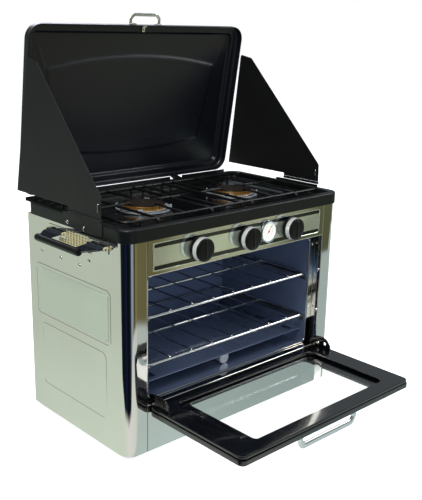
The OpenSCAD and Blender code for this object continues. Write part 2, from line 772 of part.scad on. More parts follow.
module knob(x) place() translate([x, knob_y, knob_zc]) rotate([90, 0, 0]) difference() {
  union() {
    cylinder(h = knob_t * 0.86, r = knob_d / 2);
    cylinder(h = knob_t * 0.94, r = knob_d / 2 - 3);
    translate([-knob_grip_w / 2, -knob_d / 2 + 4, 0]) cube([knob_grip_w, knob_d - 8, knob_t]);
  }
  translate([0, 0, -cut]) cylinder(h = knob_t * 0.6 + cut, r = stem_r + run);
}

module left_knob() color(black) knob(knobs[0]);
module oven_knob() color(black) knob(knobs[1]);
module right_knob() color(black) knob(knobs[2]);

module valve_stem(x) place() rod_y(knob_y - knob_t * 0.6 + seat, valve_y0 + 12, x, knob_zc, stem_r);

module left_valve_stem() color("#b9975a") valve_stem(knobs[0]);
module oven_valve_stem() color("#b9975a") valve_stem(knobs[1]);
module right_valve_stem() color("#b9975a") valve_stem(knobs[2]);

module gas_valves() color("#a98c4f") place() for (x = knobs) difference() {
  union() {
    box([x - valve_hw, valve_y0, knob_zc - valve_hw], [x + valve_hw, valve_y1, knob_zc + valve_hw]);
    rod_y(sheet, valve_y0 + cut, x, knob_zc, stem_r + 4.5);
  }
  rod_y(0, valve_y0 + 12 + seat, x, knob_zc, stem_r + run);
}

module gas_manifold() color("#9da0a0") place() {
  rod_x(knobs[0] - 16, hw - 16, pipe_y, pipe_z, pipe_r);
}

module inlet_fitting() color("#b9975a") place() {
  rod_x(hw - 16, hw - sheet - seat, pipe_y, pipe_z, inlet_r + 4);
  rod_x(hw - sheet - 2 * seat, hw + 1, pipe_y, pipe_z, inlet_r - 0.5);
  rod_x(hw + seat, hw + 6, pipe_y, pipe_z, inlet_r + 4);
  rod_x(hw + 5.9, hw + 6 + inlet_l, pipe_y, pipe_z, inlet_r);
}

module thermometer_case() color("#d8dadb") place() translate([dial_x, 0, dial_zc]) rotate([90, 0, 0])
  rotate_extrude() polygon([
    [1.5, -7],
    [dial_d / 2 - 7, -7],
    [dial_d / 2 - 7, overlay_t],
    [dial_d / 2, overlay_t],
    [dial_d / 2, -case_y - 1],
    [dial_d / 2 - 1, -case_y],
    [dial_d / 2 - 2.5, -case_y],
    [dial_d / 2 - 2.5, -dial_face_y - 1],
    [1.5, -dial_face_y - 1]
  ]);

module thermometer_dial() color("#ece9dc") place() {
  rod_y(dial_face_y, dial_face_y + 1, dial_x, dial_zc, dial_d / 2 - 2.7);
  rod_y(dial_face_y - 1, dial_face_y + 0.1, dial_x, dial_zc, 0.6);
}

module thermometer_needle() color("#b3211c") place() difference() {
  union() {
    rod_y(dial_face_y - 0.9, dial_face_y - 0.3, dial_x, dial_zc, 2.2);
    translate([dial_x, 0, dial_zc]) rotate([0, 40, 0])
      box([-0.6, dial_face_y - 0.8, -6], [0.6, dial_face_y - 0.4, dial_d / 2 - 6]);
  }
  rod_y(dial_face_y - 2, dial_face_y, dial_x, dial_zc, 0.6 + run);
}

module thermometer_lens() color([0.85, 0.9, 0.9, 0.4]) place()
  rod_y(case_y + 0.2, case_y + 1.2, dial_x, dial_zc, dial_d / 2 - 2.7);

// The thermometer's stem runs back over the oven and down through its roof
module thermometer_probe() color("#a8abab") place() {
  rod_y(7, probe_y, dial_x, dial_zc, probe_r);
  translate([dial_x, probe_y, dial_zc]) sphere(probe_r);
  rod_z(oven_z1 - 22, dial_zc, dial_x, probe_y, probe_r);
}

// Oven

module oven_liner() color("#1d2233") place() difference() {
  union() {
    box([-oven_hw - sheet, oven_y0, oven_z0 - sheet],
      [oven_hw + sheet, oven_y1 + sheet, oven_z1 + sheet]);
    box([-open_hw, oven_y0, flange_z0], [open_hw, oven_y0 + sheet, flange_z1]);
  }
  box([-oven_hw, oven_y0 - cut, oven_z0], [oven_hw, oven_y1, oven_z1]);
  both_sides() box([ear_x - 1.5, oven_y0 - cut, door_pz - 12],
    [ear_x + ear_t + 1.5, oven_y0 + 2, door_pz + 46]);
  rod_y(oven_y1 - cut, oven_y1 + 2 * sheet, knobs[1], oven_burner_z, feed_r + seat);
  rod_z(oven_z1 - cut, oven_z1 + 2 * sheet, dial_x, probe_y, probe_r + seat);
}

module insulation() color("#c9c1a5") place() difference() {
  wool_y0 = oven_y0 + 24;
  out = oven_hw + sheet + wool;
  box([-out, wool_y0, oven_z0 - sheet], [out, oven_y1 + sheet + wool, oven_z1 + sheet + wool]);
  box([-oven_hw - sheet, wool_y0 - cut, oven_z0 - sheet - cut],
    [oven_hw + sheet, oven_y1 + sheet, oven_z1 + sheet]);
  rod_y(oven_y1, oven_y1 + sheet + wool + cut, knobs[1], oven_burner_z, feed_r + seat);
  rod_z(oven_z1, oven_z1 + sheet + wool + cut, dial_x, probe_y, probe_r + seat);
}

// The oven burner on the floor, with its feed pipe round the back and over the top
module oven_burner() color("#8d8f8c") place() {
  difference() {
    rod_y(oven_y0 + 24, oven_y1 - 10, 0, oven_burner_z, oven_burner_r);
    for (y = [oven_y0 + 36:16:oven_y1 - 20]) both_sides()
      rod_x(oven_burner_r - 4, oven_burner_r + cut, y, oven_burner_z, 1.5);
  }
  rod_y(oven_y1 - 11, feed_y, knobs[1], oven_burner_z, feed_r);
  for (z = [oven_burner_z, knob_zc]) translate([knobs[1], feed_y, z]) sphere(feed_r);
  rod_z(oven_burner_z, knob_zc, knobs[1], feed_y, feed_r);
  rod_y(valve_y1 + seat, feed_y, knobs[1], knob_zc, feed_r);
}

// A plate over the burner on two folded legs, with slots along both sides
module heat_spreader() color("#24262b") place() difference() {
  w = oven_hw - 6;
  union() {
    box([-w, oven_y0 + 6, spreader_z], [w, oven_y1 - 6, spreader_z + sheet]);
    both_sides() box([w - sheet, oven_y0 + 6, oven_z0], [w, oven_y1 - 6, spreader_z + sheet]);
  }
  both_sides() for (y = [oven_y0 + 16:38:oven_y1 - 44])
    box([w - 26, y, spreader_z - cut], [w - 14, y + 26, spreader_z + sheet + cut]);
}

// A ledge on each side wall under each rack
module rack_guides() color("#b7bab8") place() both_sides() for (z = [low_rack_z, high_rack_z]) {
  top = z - rack_wire / 2 - seat;
  box([oven_hw - guide_w, oven_y0 + 5, top - guide_t], [oven_hw, oven_y1 - 4, top]);
  box([oven_hw - guide_t, oven_y0 + 5, top - 10], [oven_hw, oven_y1 - 4, top]);
}

// A wire rack: a loop, one bar across the middle and cross wires on top with turned-up ends
module rack(z) place() {
  r = rack_wire / 2;
  c = cross_wire / 2;
  step = 2 * rack_hw / (rack_bars + 1);
  wire_loop(-rack_hw, rack_y0, rack_hw, rack_y1, z, r);
  rod_x(-rack_hw, rack_hw, (rack_y0 + rack_y1) / 2, z, r);
  for (i = [1:rack_bars]) rod_y(rack_y0 - 1, rack_y1, -rack_hw + i * step, z + r + c - 0.6, c);
}

module upper_rack() color("#d0d2d2") rack(high_rack_z);
module lower_rack() color("#d0d2d2") rack(low_rack_z);

// Door, drawn open as it stands at rest

module door_inner_frame() color(black) place() difference() {
  slab(-door_hw, door_y0, door_hw, door_y1, door_r, door_split, door_z1);
  slab(-window_hw - recess_out, window_y0 - 6, window_hw + recess_out, window_y1 + 5,
    12, door_split - cut, door_z1 + cut);
}

module door_outer_frame() color("#22292a") place() difference() {
  slab(-door_hw, door_y0, door_hw, door_y1, door_r, door_z0, door_split - 0.2);
  slab(-window_hw, window_y0, window_hw, window_y1, 10, door_z0 - cut, door_z1);
  slab(-window_hw - 4, window_y0 - 3, window_hw + 4, window_y1 + 3, 12, door_split - 0.5 - glass_t, door_z1);
}

module door_glass() color([0.75, 0.85, 0.85, 0.35]) place()
  slab(-window_hw - 3.8, window_y0 - 2.8, window_hw + 3.8, window_y1 + 2.8, 11.8,
    door_split - 0.5 - glass_t, door_split - 0.5);

module door_handle() color("#d5d8da") place() {
  r = door_handle_d / 2;
  w = door_handle_w / 2;
  rod_x(-w, w, handle_bar_y, handle_bar_z, r);
  both_sides() {
    translate([w, handle_bar_y, handle_bar_z]) sphere(r);
    rod_z(handle_bar_z, door_z0, w, handle_bar_y, r);
    rod_z(door_z0 - 2, door_z0, w, handle_bar_y, r + 2);
  }
}

// The round ear at each side of the door, which turns on the pin in the jamb
module door_ears() color("#1a1b1d") place() both_sides() difference() {
  union() {
    intersection() {
      union() {
        rod_x(ear_x, ear_x + ear_t, door_py, door_pz, ear_r);
        rod_x(ear_x, ear_x + ear_t, ear_lobe_y, door_z1, ear_lobe_r);
      }
      box([ear_x - cut, door_py - ear_room, door_z1], [ear_x + ear_t + cut, door_py, door_z1 + ear_room]);
    }
    rod_x(ear_x, ear_x + ear_t, door_py, door_pz, ear_hub_r);
    box([ear_x, door_y1 + 0.1, door_pz - 4], [ear_x + ear_t, door_py, door_z1 + 1]);
  }
  rod_x(ear_x - cut, ear_x + ear_t + cut, door_py, door_pz, door_pin_r + run);
}

screw_r = 1.9;
latch_screw_y = body_d * 0.348;
latch_screw_z = vent_z0 - 7;
screw_z = latch_screw_z - 14;
screw_ys = [body_d * 0.447, body_d * 0.642, body_d * 0.85];
bolt_y = baffle_y0 + 101;
bolt_z = band_z0 + 8;
hook_y = baffle_y0 + 50;
hook_z0 = bolt_z - 6;
hook_z1 = bolt_z + 1;
foot_stud_r = 3;
plate_y0 = body_d * 0.171;
plate_l = body_d * 0.73;
plate_z0 = body_h * 0.524;
plate_h = body_h * 0.223;
head_z0 = well_z - bowl_depth - 4;
head_z1 = band_z1 + 0.6;

left_side_panel();
right_side_panel();
control_panel();
panel_overlay();
lower_front_panel();
back_panel();
base_pan();
feet();
rating_plate();
cabinet_screws();
cooktop_tray();
drip_bowls();
burner_heads();
burner_caps();
burner_tubes();
pot_grate();
lid_shell();
lid_hinge_legs();
lid_hinge_brackets();
hinge_pins();
lid_handle();
lid_catch();
left_baffle();
right_baffle();
baffle_leaves();
left_baffle_clip();
right_baffle_clip();
left_handle_grip();
right_handle_grip();
left_handle_arms();
right_handle_arms();
handle_brackets();
vent_screens();
left_knob();
oven_knob();
right_knob();
gas_valves();
left_valve_stem();
oven_valve_stem();
right_valve_stem();
gas_manifold();
inlet_fitting();
thermometer_case();
thermometer_dial();
thermometer_needle();
thermometer_lens();
thermometer_probe();
oven_liner();
insulation();
oven_burner();
heat_spreader();
rack_guides();
upper_rack();
lower_rack();
door_inner_frame();
door_outer_frame();
door_glass();
door_handle();
door_ears();
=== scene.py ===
import bpy
import bmesh
import json
from math import cos, hypot, pi, prod, radians, sin, tan, tau
from mathutils import Matrix, Vector


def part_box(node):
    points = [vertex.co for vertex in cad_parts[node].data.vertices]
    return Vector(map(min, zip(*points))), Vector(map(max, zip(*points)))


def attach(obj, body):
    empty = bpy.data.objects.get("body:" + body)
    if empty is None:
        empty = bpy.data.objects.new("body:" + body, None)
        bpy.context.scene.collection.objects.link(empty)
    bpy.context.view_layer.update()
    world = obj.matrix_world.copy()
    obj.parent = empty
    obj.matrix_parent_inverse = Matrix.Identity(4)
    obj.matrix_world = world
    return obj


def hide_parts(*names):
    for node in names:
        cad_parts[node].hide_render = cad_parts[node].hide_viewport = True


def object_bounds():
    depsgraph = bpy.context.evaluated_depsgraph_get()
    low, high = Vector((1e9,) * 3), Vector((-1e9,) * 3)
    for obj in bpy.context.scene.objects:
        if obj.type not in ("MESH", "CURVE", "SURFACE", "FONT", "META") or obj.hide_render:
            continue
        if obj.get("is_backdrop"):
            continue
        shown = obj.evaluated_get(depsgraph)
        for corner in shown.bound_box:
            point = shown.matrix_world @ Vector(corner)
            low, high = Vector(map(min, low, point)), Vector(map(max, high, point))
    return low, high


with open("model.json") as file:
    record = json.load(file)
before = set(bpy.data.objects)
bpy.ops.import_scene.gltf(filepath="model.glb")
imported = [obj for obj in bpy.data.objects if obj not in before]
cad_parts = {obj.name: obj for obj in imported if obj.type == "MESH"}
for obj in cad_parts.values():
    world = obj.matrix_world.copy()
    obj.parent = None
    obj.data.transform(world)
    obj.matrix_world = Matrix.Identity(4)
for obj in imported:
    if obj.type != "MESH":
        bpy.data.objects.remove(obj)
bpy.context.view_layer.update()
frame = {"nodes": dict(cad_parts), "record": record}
print("stage: frame loaded")

# All sizes below are millimetres in the cabinet's own frame: X right, Y back from the front
# face, Z up from the cabinet's lower edge. row() moves them into the frame of the CAD part.
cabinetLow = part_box("left_side_panel")[0]
frontY, baseZ = cabinetLow.y, cabinetLow.z


def row(p):
    return Vector((p[0] / 1000, p[1] / 1000 + frontY, p[2] / 1000 + baseZ))


# Materials

def linear(hexColor):
    values = [int(hexColor[i:i + 2], 16) / 255 for i in (1, 3, 5)]
    return tuple(v / 12.92 if v <= 0.04045 else ((v + 0.055) / 1.055) ** 2.4 for v in values) + (1,)


def addNode(tree, kind, inputs=None, **settings):
    node = tree.nodes.new("ShaderNode" + kind)
    for key, value in settings.items():
        setattr(node, key, value)
    for key, value in (inputs or {}).items():
        if isinstance(value, bpy.types.NodeSocket):
            tree.links.new(value, node.inputs[key])
        else:
            node.inputs[key].default_value = value
    return node


def maths(tree, operation, a, b=0.0, c=0.0):
    return addNode(tree, "Math", {0: a, 1: b, 2: c}, operation=operation).outputs[0]


def mapRange(tree, value, source, target=(0.0, 1.0), **settings):
    inputs = {"Value": value, "From Min": source[0], "From Max": source[1],
              "To Min": target[0], "To Max": target[1]}
    return addNode(tree, "MapRange", inputs, **settings).outputs[0]


def mixColors(tree, factor, first, second):
    return addNode(tree, "Mix", {0: factor, 6: first, 7: second}, data_type="RGBA").outputs[2]


def mixShaders(tree, factor, first, second):
    return addNode(tree, "MixShader", {0: factor, 1: first, 2: second}).outputs[0]


def emission(tree, color, strength=1.0):
    return addNode(tree, "Emission", {"Color": color, "Strength": strength}).outputs[0]


def axes(tree, output):
    coords = addNode(tree, "TexCoord")
    return addNode(tree, "SeparateXYZ", {0: coords.outputs[output]}).outputs


def newMaterial(name):
    material = bpy.data.materials.new(name)
    material.use_nodes = True
    tree = material.node_tree
    tree.nodes.clear()
    output = addNode(tree, "OutputMaterial")
    return material, tree, output


def grainNoise(tree, grain, stretch=(1, 1, 1), detail=3.0):
    # noise whose grain is given in millimetres
    coords = addNode(tree, "TexCoord")
    scale = tuple(1000 / grain / s for s in stretch)
    mapping = addNode(tree, "Mapping", {"Vector": coords.outputs["Object"], "Scale": scale})
    noise = {"Vector": mapping.outputs[0], "Scale": 1.0, "Detail": detail, "Roughness": 0.55}
    return addNode(tree, "TexNoise", noise).outputs["Fac"]


def finish(name, color, second, rough, grain, bump, depth=0.02, patch=60, stretch=(1, 1, 1), metallic=0.0,
           specular=0.5, coat=0.0, coatRough=0.05, top=None):
    # a fine grain bumps the skin, and broad patches vary its colour and roughness; sizes in millimetres
    material, tree, output = newMaterial(name)
    fine = grainNoise(tree, grain, stretch)
    broad = grainNoise(tree, patch, detail=2.0)
    shade = mixColors(tree, broad, linear(color), linear(second))
    if top:
        # surfaces that face up carry a colour of their own
        upward = mapRange(tree, axes(tree, "Normal")[2], (0.4, 0.8))
        shade = mixColors(tree, upward, shade, linear(top))
    roughness = mapRange(tree, maths(tree, "ADD", fine, broad), (0.7, 1.3), rough)
    normal = addNode(tree, "Bump", {"Height": fine, "Strength": bump, "Distance": depth / 1000})
    shader = addNode(tree, "BsdfPrincipled", {
        "Base Color": shade, "Metallic": metallic, "Roughness": roughness, "Specular IOR Level": specular,
        "Normal": normal.outputs[0], "Coat Weight": coat, "Coat Roughness": coatRough})
    tree.links.new(shader.outputs[0], output.inputs[0])
    return material


# each line holds colour, second colour, roughness, grain, bump strength and bump depth, then the rest
materials = {
    # polished stainless: near mirror, with slight waviness that bends reflections
    "polished": finish("polishedStainless", "#d9d7d0", "#d0cec8", (0.03, 0.08), 30, 0.05, 0.6, patch=120,
                       metallic=1.0),
    # satin stainless: soft pale reflections with a short vertical grain
    "satinSteel": finish("satinStainless", "#dcdcd6", "#d2d3cd", (0.16, 0.26), 1.2, 0.06, patch=90,
                         stretch=(1, 1, 12), metallic=1.0),
    # gloss black enamel: deep black with a clear skin and faint orange peel
    "blackEnamel": finish("glossBlackEnamel", "#07080a", "#050607", (0.14, 0.22), 7, 0.05, 0.03,
                          coat=0.6, coatRough=0.06),
    # band enamel: the same black, rubbed to a satin sheen along the cook-top's edge
    "bandEnamel": finish("satinBlackEnamel", "#0c100f", "#0a0d0c", (0.3, 0.4), 1.5, 0.08, patch=80,
                         specular=0.3),
    # lid enamel: blue-black with a soft broad sheen instead of a mirror image
    "lidEnamel": finish("semiGlossLidEnamel", "#0a0d14", "#080a10", (0.34, 0.44), 1.2, 0.06, patch=70,
                        coat=0.25, coatRough=0.28),
    # satin black coating: dull sheet with a fine grain and no mirror image
    "satinBlack": finish("satinBlackCoating", "#0b0d0c", "#090a0a", (0.44, 0.54), 0.9, 0.1, 0.03),
    # grate enamel: black wire with a dulled skin, only faint highlights
    "grateBlack": finish("dulledBlackEnamel", "#08090a", "#0b0b0c", (0.3, 0.45), 1.2, 0.15, 0.03, patch=20),
    # oven enamel: grey-blue and glossy inside the oven
    "blueEnamel": finish("blueOvenEnamel", "#4c5870", "#434e66", (0.14, 0.24), 5, 0.07, 0.04,
                         coat=0.8, coatRough=0.08),
    # chrome plate: hard bright reflections on wires, handles and screws
    "chrome": finish("chromePlate", "#e6e7e8", "#dedfe1", (0.04, 0.1), 4, 0.03, metallic=1.0),
    # satin aluminium: the knobs' wide side rings with one soft bright streak
    "satinRing": finish("satinAluminiumRing", "#eef2ee", "#e2e6e2", (0.2, 0.24), 1.2, 0.02, 0.004, patch=30,
                        stretch=(1, 8, 1), metallic=0.5),
    # zinc plate: grey metal with a soft sheen on pins, guides and pipes
    "zinc": finish("zincPlate", "#b4b6b4", "#a4a7a6", (0.25, 0.4), 1.5, 0.1, metallic=1.0),
    # yellow passivated zinc: grey-gold lugs and vent mesh
    "yellowZinc": finish("yellowZinc", "#e0dab4", "#cdc596", (0.3, 0.42), 2, 0.1, patch=12, metallic=0.45),
    # brass dulled by heat: brown-gold with darker patches, and darker where it faces up
    "brass": finish("heatedBrass", "#c99a50", "#8a6636", (0.26, 0.42), 2, 0.12, 0.03, patch=14,
                    metallic=0.8, top="#2c1f14"),
    # drawn aluminium: pale soft metal of the drip bowls
    "aluminium": finish("drawnAluminium", "#d3d8dc", "#bcc2c8", (0.18, 0.3), 1.6, 0.1, patch=18,
                        stretch=(1, 1, 0.4), metallic=0.6),
    # black plastic: knob faces and handle grips with a soft highlight
    "blackPlastic": finish("glossBlackPlastic", "#040405", "#060607", (0.3, 0.4), 3, 0.05, specular=0.3),
    # black paint: the steel arms of the side handles, with a clear skin; the blue tint of its colours is a painted
    # blue reflection
    "armBlackWithPaintedBlue": finish("armPaintWithPaintedBlueReflection", "#0e1526", "#090d18", (0.24, 0.36), 3, 0.06, 0.03,
                       coat=0.6, coatRough=0.12),
    # black rubber: matt feet
    "rubber": finish("blackRubber", "#141414", "#1c1c1c", (0.6, 0.8), 1, 0.2, 0.04),
    # printed plate: a smooth pale silver skin that still mirrors the knobs
    "printedPlate": finish("printedPlate", "#d2dac8", "#cbd3c1", (0.05, 0.1), 3, 0.03, metallic=0.82),
    # blank label: smooth grey-green film
    "label": finish("blankLabel", "#a9b5a2", "#a3af9c", (0.28, 0.36), 2, 0.03, coat=0.5, coatRough=0.15),
    # heat-browned black enamel: the burners' caps
    "capBlack": finish("burnerCap", "#17120f", "#221912", (0.3, 0.5), 1.5, 0.15, 0.04, patch=12),
    # mineral wool: pale fibrous blanket round the liner
    "wool": finish("mineralWool", "#b9ad88", "#a3986f", (0.8, 0.95), 2.5, 0.6, 0.8),
    # red paint: the needle, with a low sheen
    "red": finish("redPaint", "#b51d20", "#a8181b", (0.3, 0.4), 1, 0.05, 0.01),
}


def glassMaterial():
    # clear tempered glass: lets the white show through with a faint green-grey cast
    material, tree, output = newMaterial("clearGlass")
    ripple = addNode(tree, "Bump", {"Height": grainNoise(tree, 80, detail=1.0), "Strength": 0.02,
                                              "Distance": 0.0002})
    glass = addNode(tree, "BsdfPrincipled", {
        "Base Color": linear("#f2f6f4"), "Roughness": 0.0, "IOR": 1.3, "Transmission Weight": 1.0,
        "Normal": ripple.outputs[0]})
    clear = addNode(tree, "BsdfTransparent", {"Color": linear("#eef3f1")})
    path = addNode(tree, "LightPath")
    mixed = mixShaders(tree, path.outputs["Is Shadow Ray"], glass.outputs[0], clear.outputs[0])
    tree.links.new(mixed, output.inputs[0])
    return material


# thermometer: the bands are shares of the dial's radius, the sweep is in radians
gauge = {"x": 57, "z": 346, "radius": 17.5, "ticks": 24, "tickWidth": 0.1, "tickBand": (0.72, 0.9),
         "arcBand": (0.52, 0.64), "arcStrength": 0.55, "sweep": 2.3, "needleTurn": 40}


def dialMaterial():
    # printed dial: off-white card with dark ticks and a green-to-red arc
    material, tree, output = newMaterial("printedDial")
    place = axes(tree, "Object")
    centre = row((gauge["x"], 0, gauge["z"]))
    dx = maths(tree, "SUBTRACT", place[0], centre.x)
    dz = maths(tree, "SUBTRACT", place[2], centre.z)
    angle = maths(tree, "ARCTAN2", dx, dz)
    reach = maths(tree, "POWER", maths(tree, "MULTIPLY_ADD", dz, dz, maths(tree, "MULTIPLY", dx, dx)), 0.5)

    def band(key):
        low, high = (gauge["radius"] * share / 1000 for share in gauge[key])
        inside = maths(tree, "GREATER_THAN", reach, low)
        return maths(tree, "MULTIPLY", inside, maths(tree, "LESS_THAN", reach, high))

    tooth = maths(tree, "PINGPONG", maths(tree, "MULTIPLY", angle, gauge["ticks"] / tau), 0.5)
    tick = maths(tree, "MULTIPLY", band("tickBand"), maths(tree, "LESS_THAN", tooth, gauge["tickWidth"]))
    sweep = mapRange(tree, angle, (-gauge["sweep"], gauge["sweep"]))
    arcColor = colorRamp(tree, sweep, [(0.0, linear("#5f8f66")), (1.0, linear("#b8433c"))])
    arc = maths(tree, "MULTIPLY", band("arcBand"), gauge["arcStrength"])
    card = mixColors(tree, arc, linear("#e4e4dc"), arcColor)
    printed = mixColors(tree, tick, card, linear("#2a2a2a"))
    shader = addNode(tree, "BsdfPrincipled", {"Base Color": printed, "Roughness": 0.35})
    tree.links.new(shader.outputs[0], output.inputs[0])
    return material


def colorRamp(tree, factor, stops):
    ramp = addNode(tree, "ValToRGB", {0: factor})
    elements = ramp.color_ramp.elements
    elements[0].position, elements[1].position = stops[0][0], stops[-1][0]
    elements[0].color, elements[1].color = stops[0][1], stops[-1][1]
    for position, color in stops[1:-1]:
        elements.new(position).color = color
    return ramp.outputs[0]


materials["glass"] = glassMaterial()
materials["dial"] = dialMaterial()
print("stage: materials")


# Places: each takes a point of a piece's own coordinates into the cabinet's frame

def same(p):
    return p


def chain(inner, outer):
    return lambda p: outer(inner(p))


def onSide(flip, x):
    # along Y, up, and out from a side plane
    return lambda p: flip((x + p[2], p[0], p[1]))


def acrossY(flip, y):
    # along X, up, and back from a plane parallel to the front
    return lambda p: flip((p[0], y + p[2], p[1]))


onFront = lambda p: (p[0], -p[2], p[1])
bothSides = (("right", same), ("left", lambda p: (-p[0], p[1], p[2])))


# Mesh helpers

def addObject(name, data):
    obj = bpy.data.objects.new(name, data)
    bpy.context.scene.collection.objects.link(obj)
    return obj


def keepFlat(obj):
    # large flat faces keep their own normals, so the round edges beside them don't bend reflections
    weighted = obj.modifiers.new("flat", "WEIGHTED_NORMAL")
    weighted.keep_sharp = True
    weighted.weight = 100
    evaluated = obj.evaluated_get(bpy.context.evaluated_depsgraph_get())
    old, obj.data = obj.data, bpy.data.meshes.new_from_object(evaluated)
    obj.modifiers.clear()
    bpy.data.meshes.remove(old)


def meshOf(shapes):
    # one mesh from several (verts, faces, place) shapes, with outward normals
    verts, faces = [], []
    for shapeVerts, shapeFaces, place in shapes:
        start = len(verts)
        verts += [row(place(tuple(v))) for v in shapeVerts]
        faces += [tuple(start + i for i in f) for f in shapeFaces]
    mesh = bpy.data.meshes.new("piece")
    mesh.from_pydata(verts, [], faces)
    bm = bmesh.new()
    bm.from_mesh(mesh)
    bmesh.ops.remove_doubles(bm, verts=bm.verts, dist=1e-7)
    bmesh.ops.recalc_face_normals(bm, faces=bm.faces)
    bm.to_mesh(mesh)
    bm.free()
    return mesh


def makePiece(name, shapes, body, materialName, standsFor=(), sharp=35):
    mesh = meshOf(shapes)
    obj = addObject(name, mesh)
    mesh.materials.append(materials[materialName])
    mesh.shade_smooth()
    mesh.set_sharp_from_angle(angle=radians(sharp))
    keepFlat(obj)
    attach(obj, body)
    if standsFor:
        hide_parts(*standsFor)


def rounded2d(points, radii, steps=5, closed=True):
    # a path with its corners rounded, in two or three dimensions
    if not isinstance(radii, (list, tuple)):
        radii = [radii] * len(points)
    out = []
    count = len(points)
    for i, point in enumerate(points):
        p = Vector(point)
        if not closed and i in (0, count - 1) or radii[i] <= 0:
            out.append(tuple(p))
            continue
        a, b = Vector(points[i - 1]) - p, Vector(points[(i + 1) % count]) - p
        turn = pi - a.angle(b)
        reach = min(radii[i] * tan(turn / 2), 0.48 * a.length, 0.48 * b.length)
        start, end = p + a.normalized() * reach, p + b.normalized() * reach
        for k in range(steps + 1):
            t = k / steps
            out.append(tuple(start * (1 - t) ** 2 + p * 2 * t * (1 - t) + end * t ** 2))
    return out


def roundedBy(points, steps=5, closed=True):
    # the same, where the last number of each point is its corner's radius
    return rounded2d([p[:-1] for p in points], [p[-1] for p in points], steps, closed)


def arc2d(cx, cy, r, a0, a1, n=12):
    turns = [radians(a0 + (a1 - a0) * k / n) for k in range(n + 1)]
    return [(cx + r * cos(a), cy + r * sin(a)) for a in turns]


def circle2d(cx, cy, r, n=32):
    return [(cx + r * cos(tau * k / n), cy + r * sin(tau * k / n)) for k in range(n)]


def rectRing(x0, y0, x1, y1, r, z, n=7):
    # a rounded rectangle at height z, n steps to a corner
    r = max(min(r, (x1 - x0) / 2 - 0.01, (y1 - y0) / 2 - 0.01), 0.05)
    ring = []
    for cx, cy, start in ((x1 - r, y1 - r, 0), (x0 + r, y1 - r, 90), (x0 + r, y0 + r, 180), (x1 - r, y0 + r, 270)):
        ring += [(x, y, z) for x, y in arc2d(cx, cy, r, start, start + 90, n)]
    return ring


def rect2d(x0, y0, x1, y1, r, n=6):
    return [(x, y) for x, y, z in rectRing(x0, y0, x1, y1, r, 0, n)]


def bridge(rings, capStart=True, capEnd=True, closed=False):
    # quads between rings of equal length, with flat caps on an open row of them
    n = len(rings[0])
    verts = [v for ring in rings for v in ring]
    faces = []
    for j in range(len(rings) if closed else len(rings) - 1):
        a, b = j * n, ((j + 1) % len(rings)) * n
        for i in range(n):
            k = (i + 1) % n
            faces.append((a + i, a + k, b + k, b + i))
    if capStart:
        faces.append(tuple(range(n))[::-1])
    if capEnd:
        faces.append(tuple((len(rings) - 1) * n + i for i in range(n)))
    return verts, faces


def loft(rect, r, profile, place=same, capStart=True, capEnd=True, n=7):
    # a rounded rectangle swept through (inset, height) points
    x0, y0, x1, y1 = rect
    rings = [rectRing(x0 + d, y0 + d, x1 - d, y1 - d, r - d, z, n) for d, z in profile]
    return bridge(rings, capStart, capEnd) + (place,)


def turned(profile, centre, axis="z", segments=48, place=same):
    # a (radius, height) profile turned about an axis through centre
    rings = []
    for radius, h in profile:
        ring = []
        for u, v in circle2d(0, 0, max(radius, 0.001), segments):
            point = {"z": (u, v, h), "y": (u, h, v), "x": (h, u, v)}[axis]
            ring.append(tuple(c + q for c, q in zip(centre, point)))
        rings.append(ring)
    return bridge(rings) + (place,)


def screwHead(centre, axis, r, h, segments=16, place=same):
    # a pan head with a round recess, r wide and h high
    profile = [(0, 0), (r, 0), (r, h * 0.35), (r * 0.85, h * 0.75), (r * 0.5, h), (r * 0.28, h),
               (r * 0.24, h * 0.45), (0, h * 0.45)]
    return turned(profile, centre, axis, segments, place)


def tube(path, radius, sides=12, closed=False, flat=1.0, place=same, up=(0, 0, 1)):
    # a round or flattened wire along a path, with rounded ends where it is open
    points = [Vector(p) for p in path]
    last = len(points) - 1
    normal = Vector(up)
    rings = []

    def circle(p, side, scale):
        return [tuple(p + (side * u + normal * v * flat) * radius * scale) for u, v in circle2d(0, 0, 1, sides)]

    for i, p in enumerate(points):
        ahead = points[(i + 1) % len(points)] if closed or i < last else p
        behind = points[i - 1] if closed or i > 0 else p
        along = (ahead - behind).normalized()
        normal = normal - along * normal.dot(along)
        if normal.length < 1e-6:
            normal = along.orthogonal()
        normal.normalize()
        side = along.cross(normal)
        if i == 0 and not closed:
            rings.append(circle(p - along * radius * 0.25, side, 0.55))
        rings.append(circle(p, side, 1.0))
        if i == last and not closed:
            rings.append(circle(p + along * radius * 0.25, side, 0.55))
    return bridge(rings, not closed, not closed, closed) + (place,)


def edgeProfile(z0, z1, e):
    # (inset, height) points of a plate's side with both edges rounded
    return [(e, z0), (e * 0.3, z0 + e * 0.3), (0, z0 + e), (0, z1 - e), (e * 0.3, z1 - e * 0.3), (e, z1)]


def block(lo, hi, edge=0.6, place=same):
    # a box with rounded edges
    x0, y0, z0 = lo
    x1, y1, z1 = hi
    e = min(edge, (x1 - x0) / 3, (y1 - y0) / 3, (z1 - z0) / 3)
    return loft((x0, y0, x1, y1), e * 1.2, edgeProfile(z0, z1, e), place, n=3)


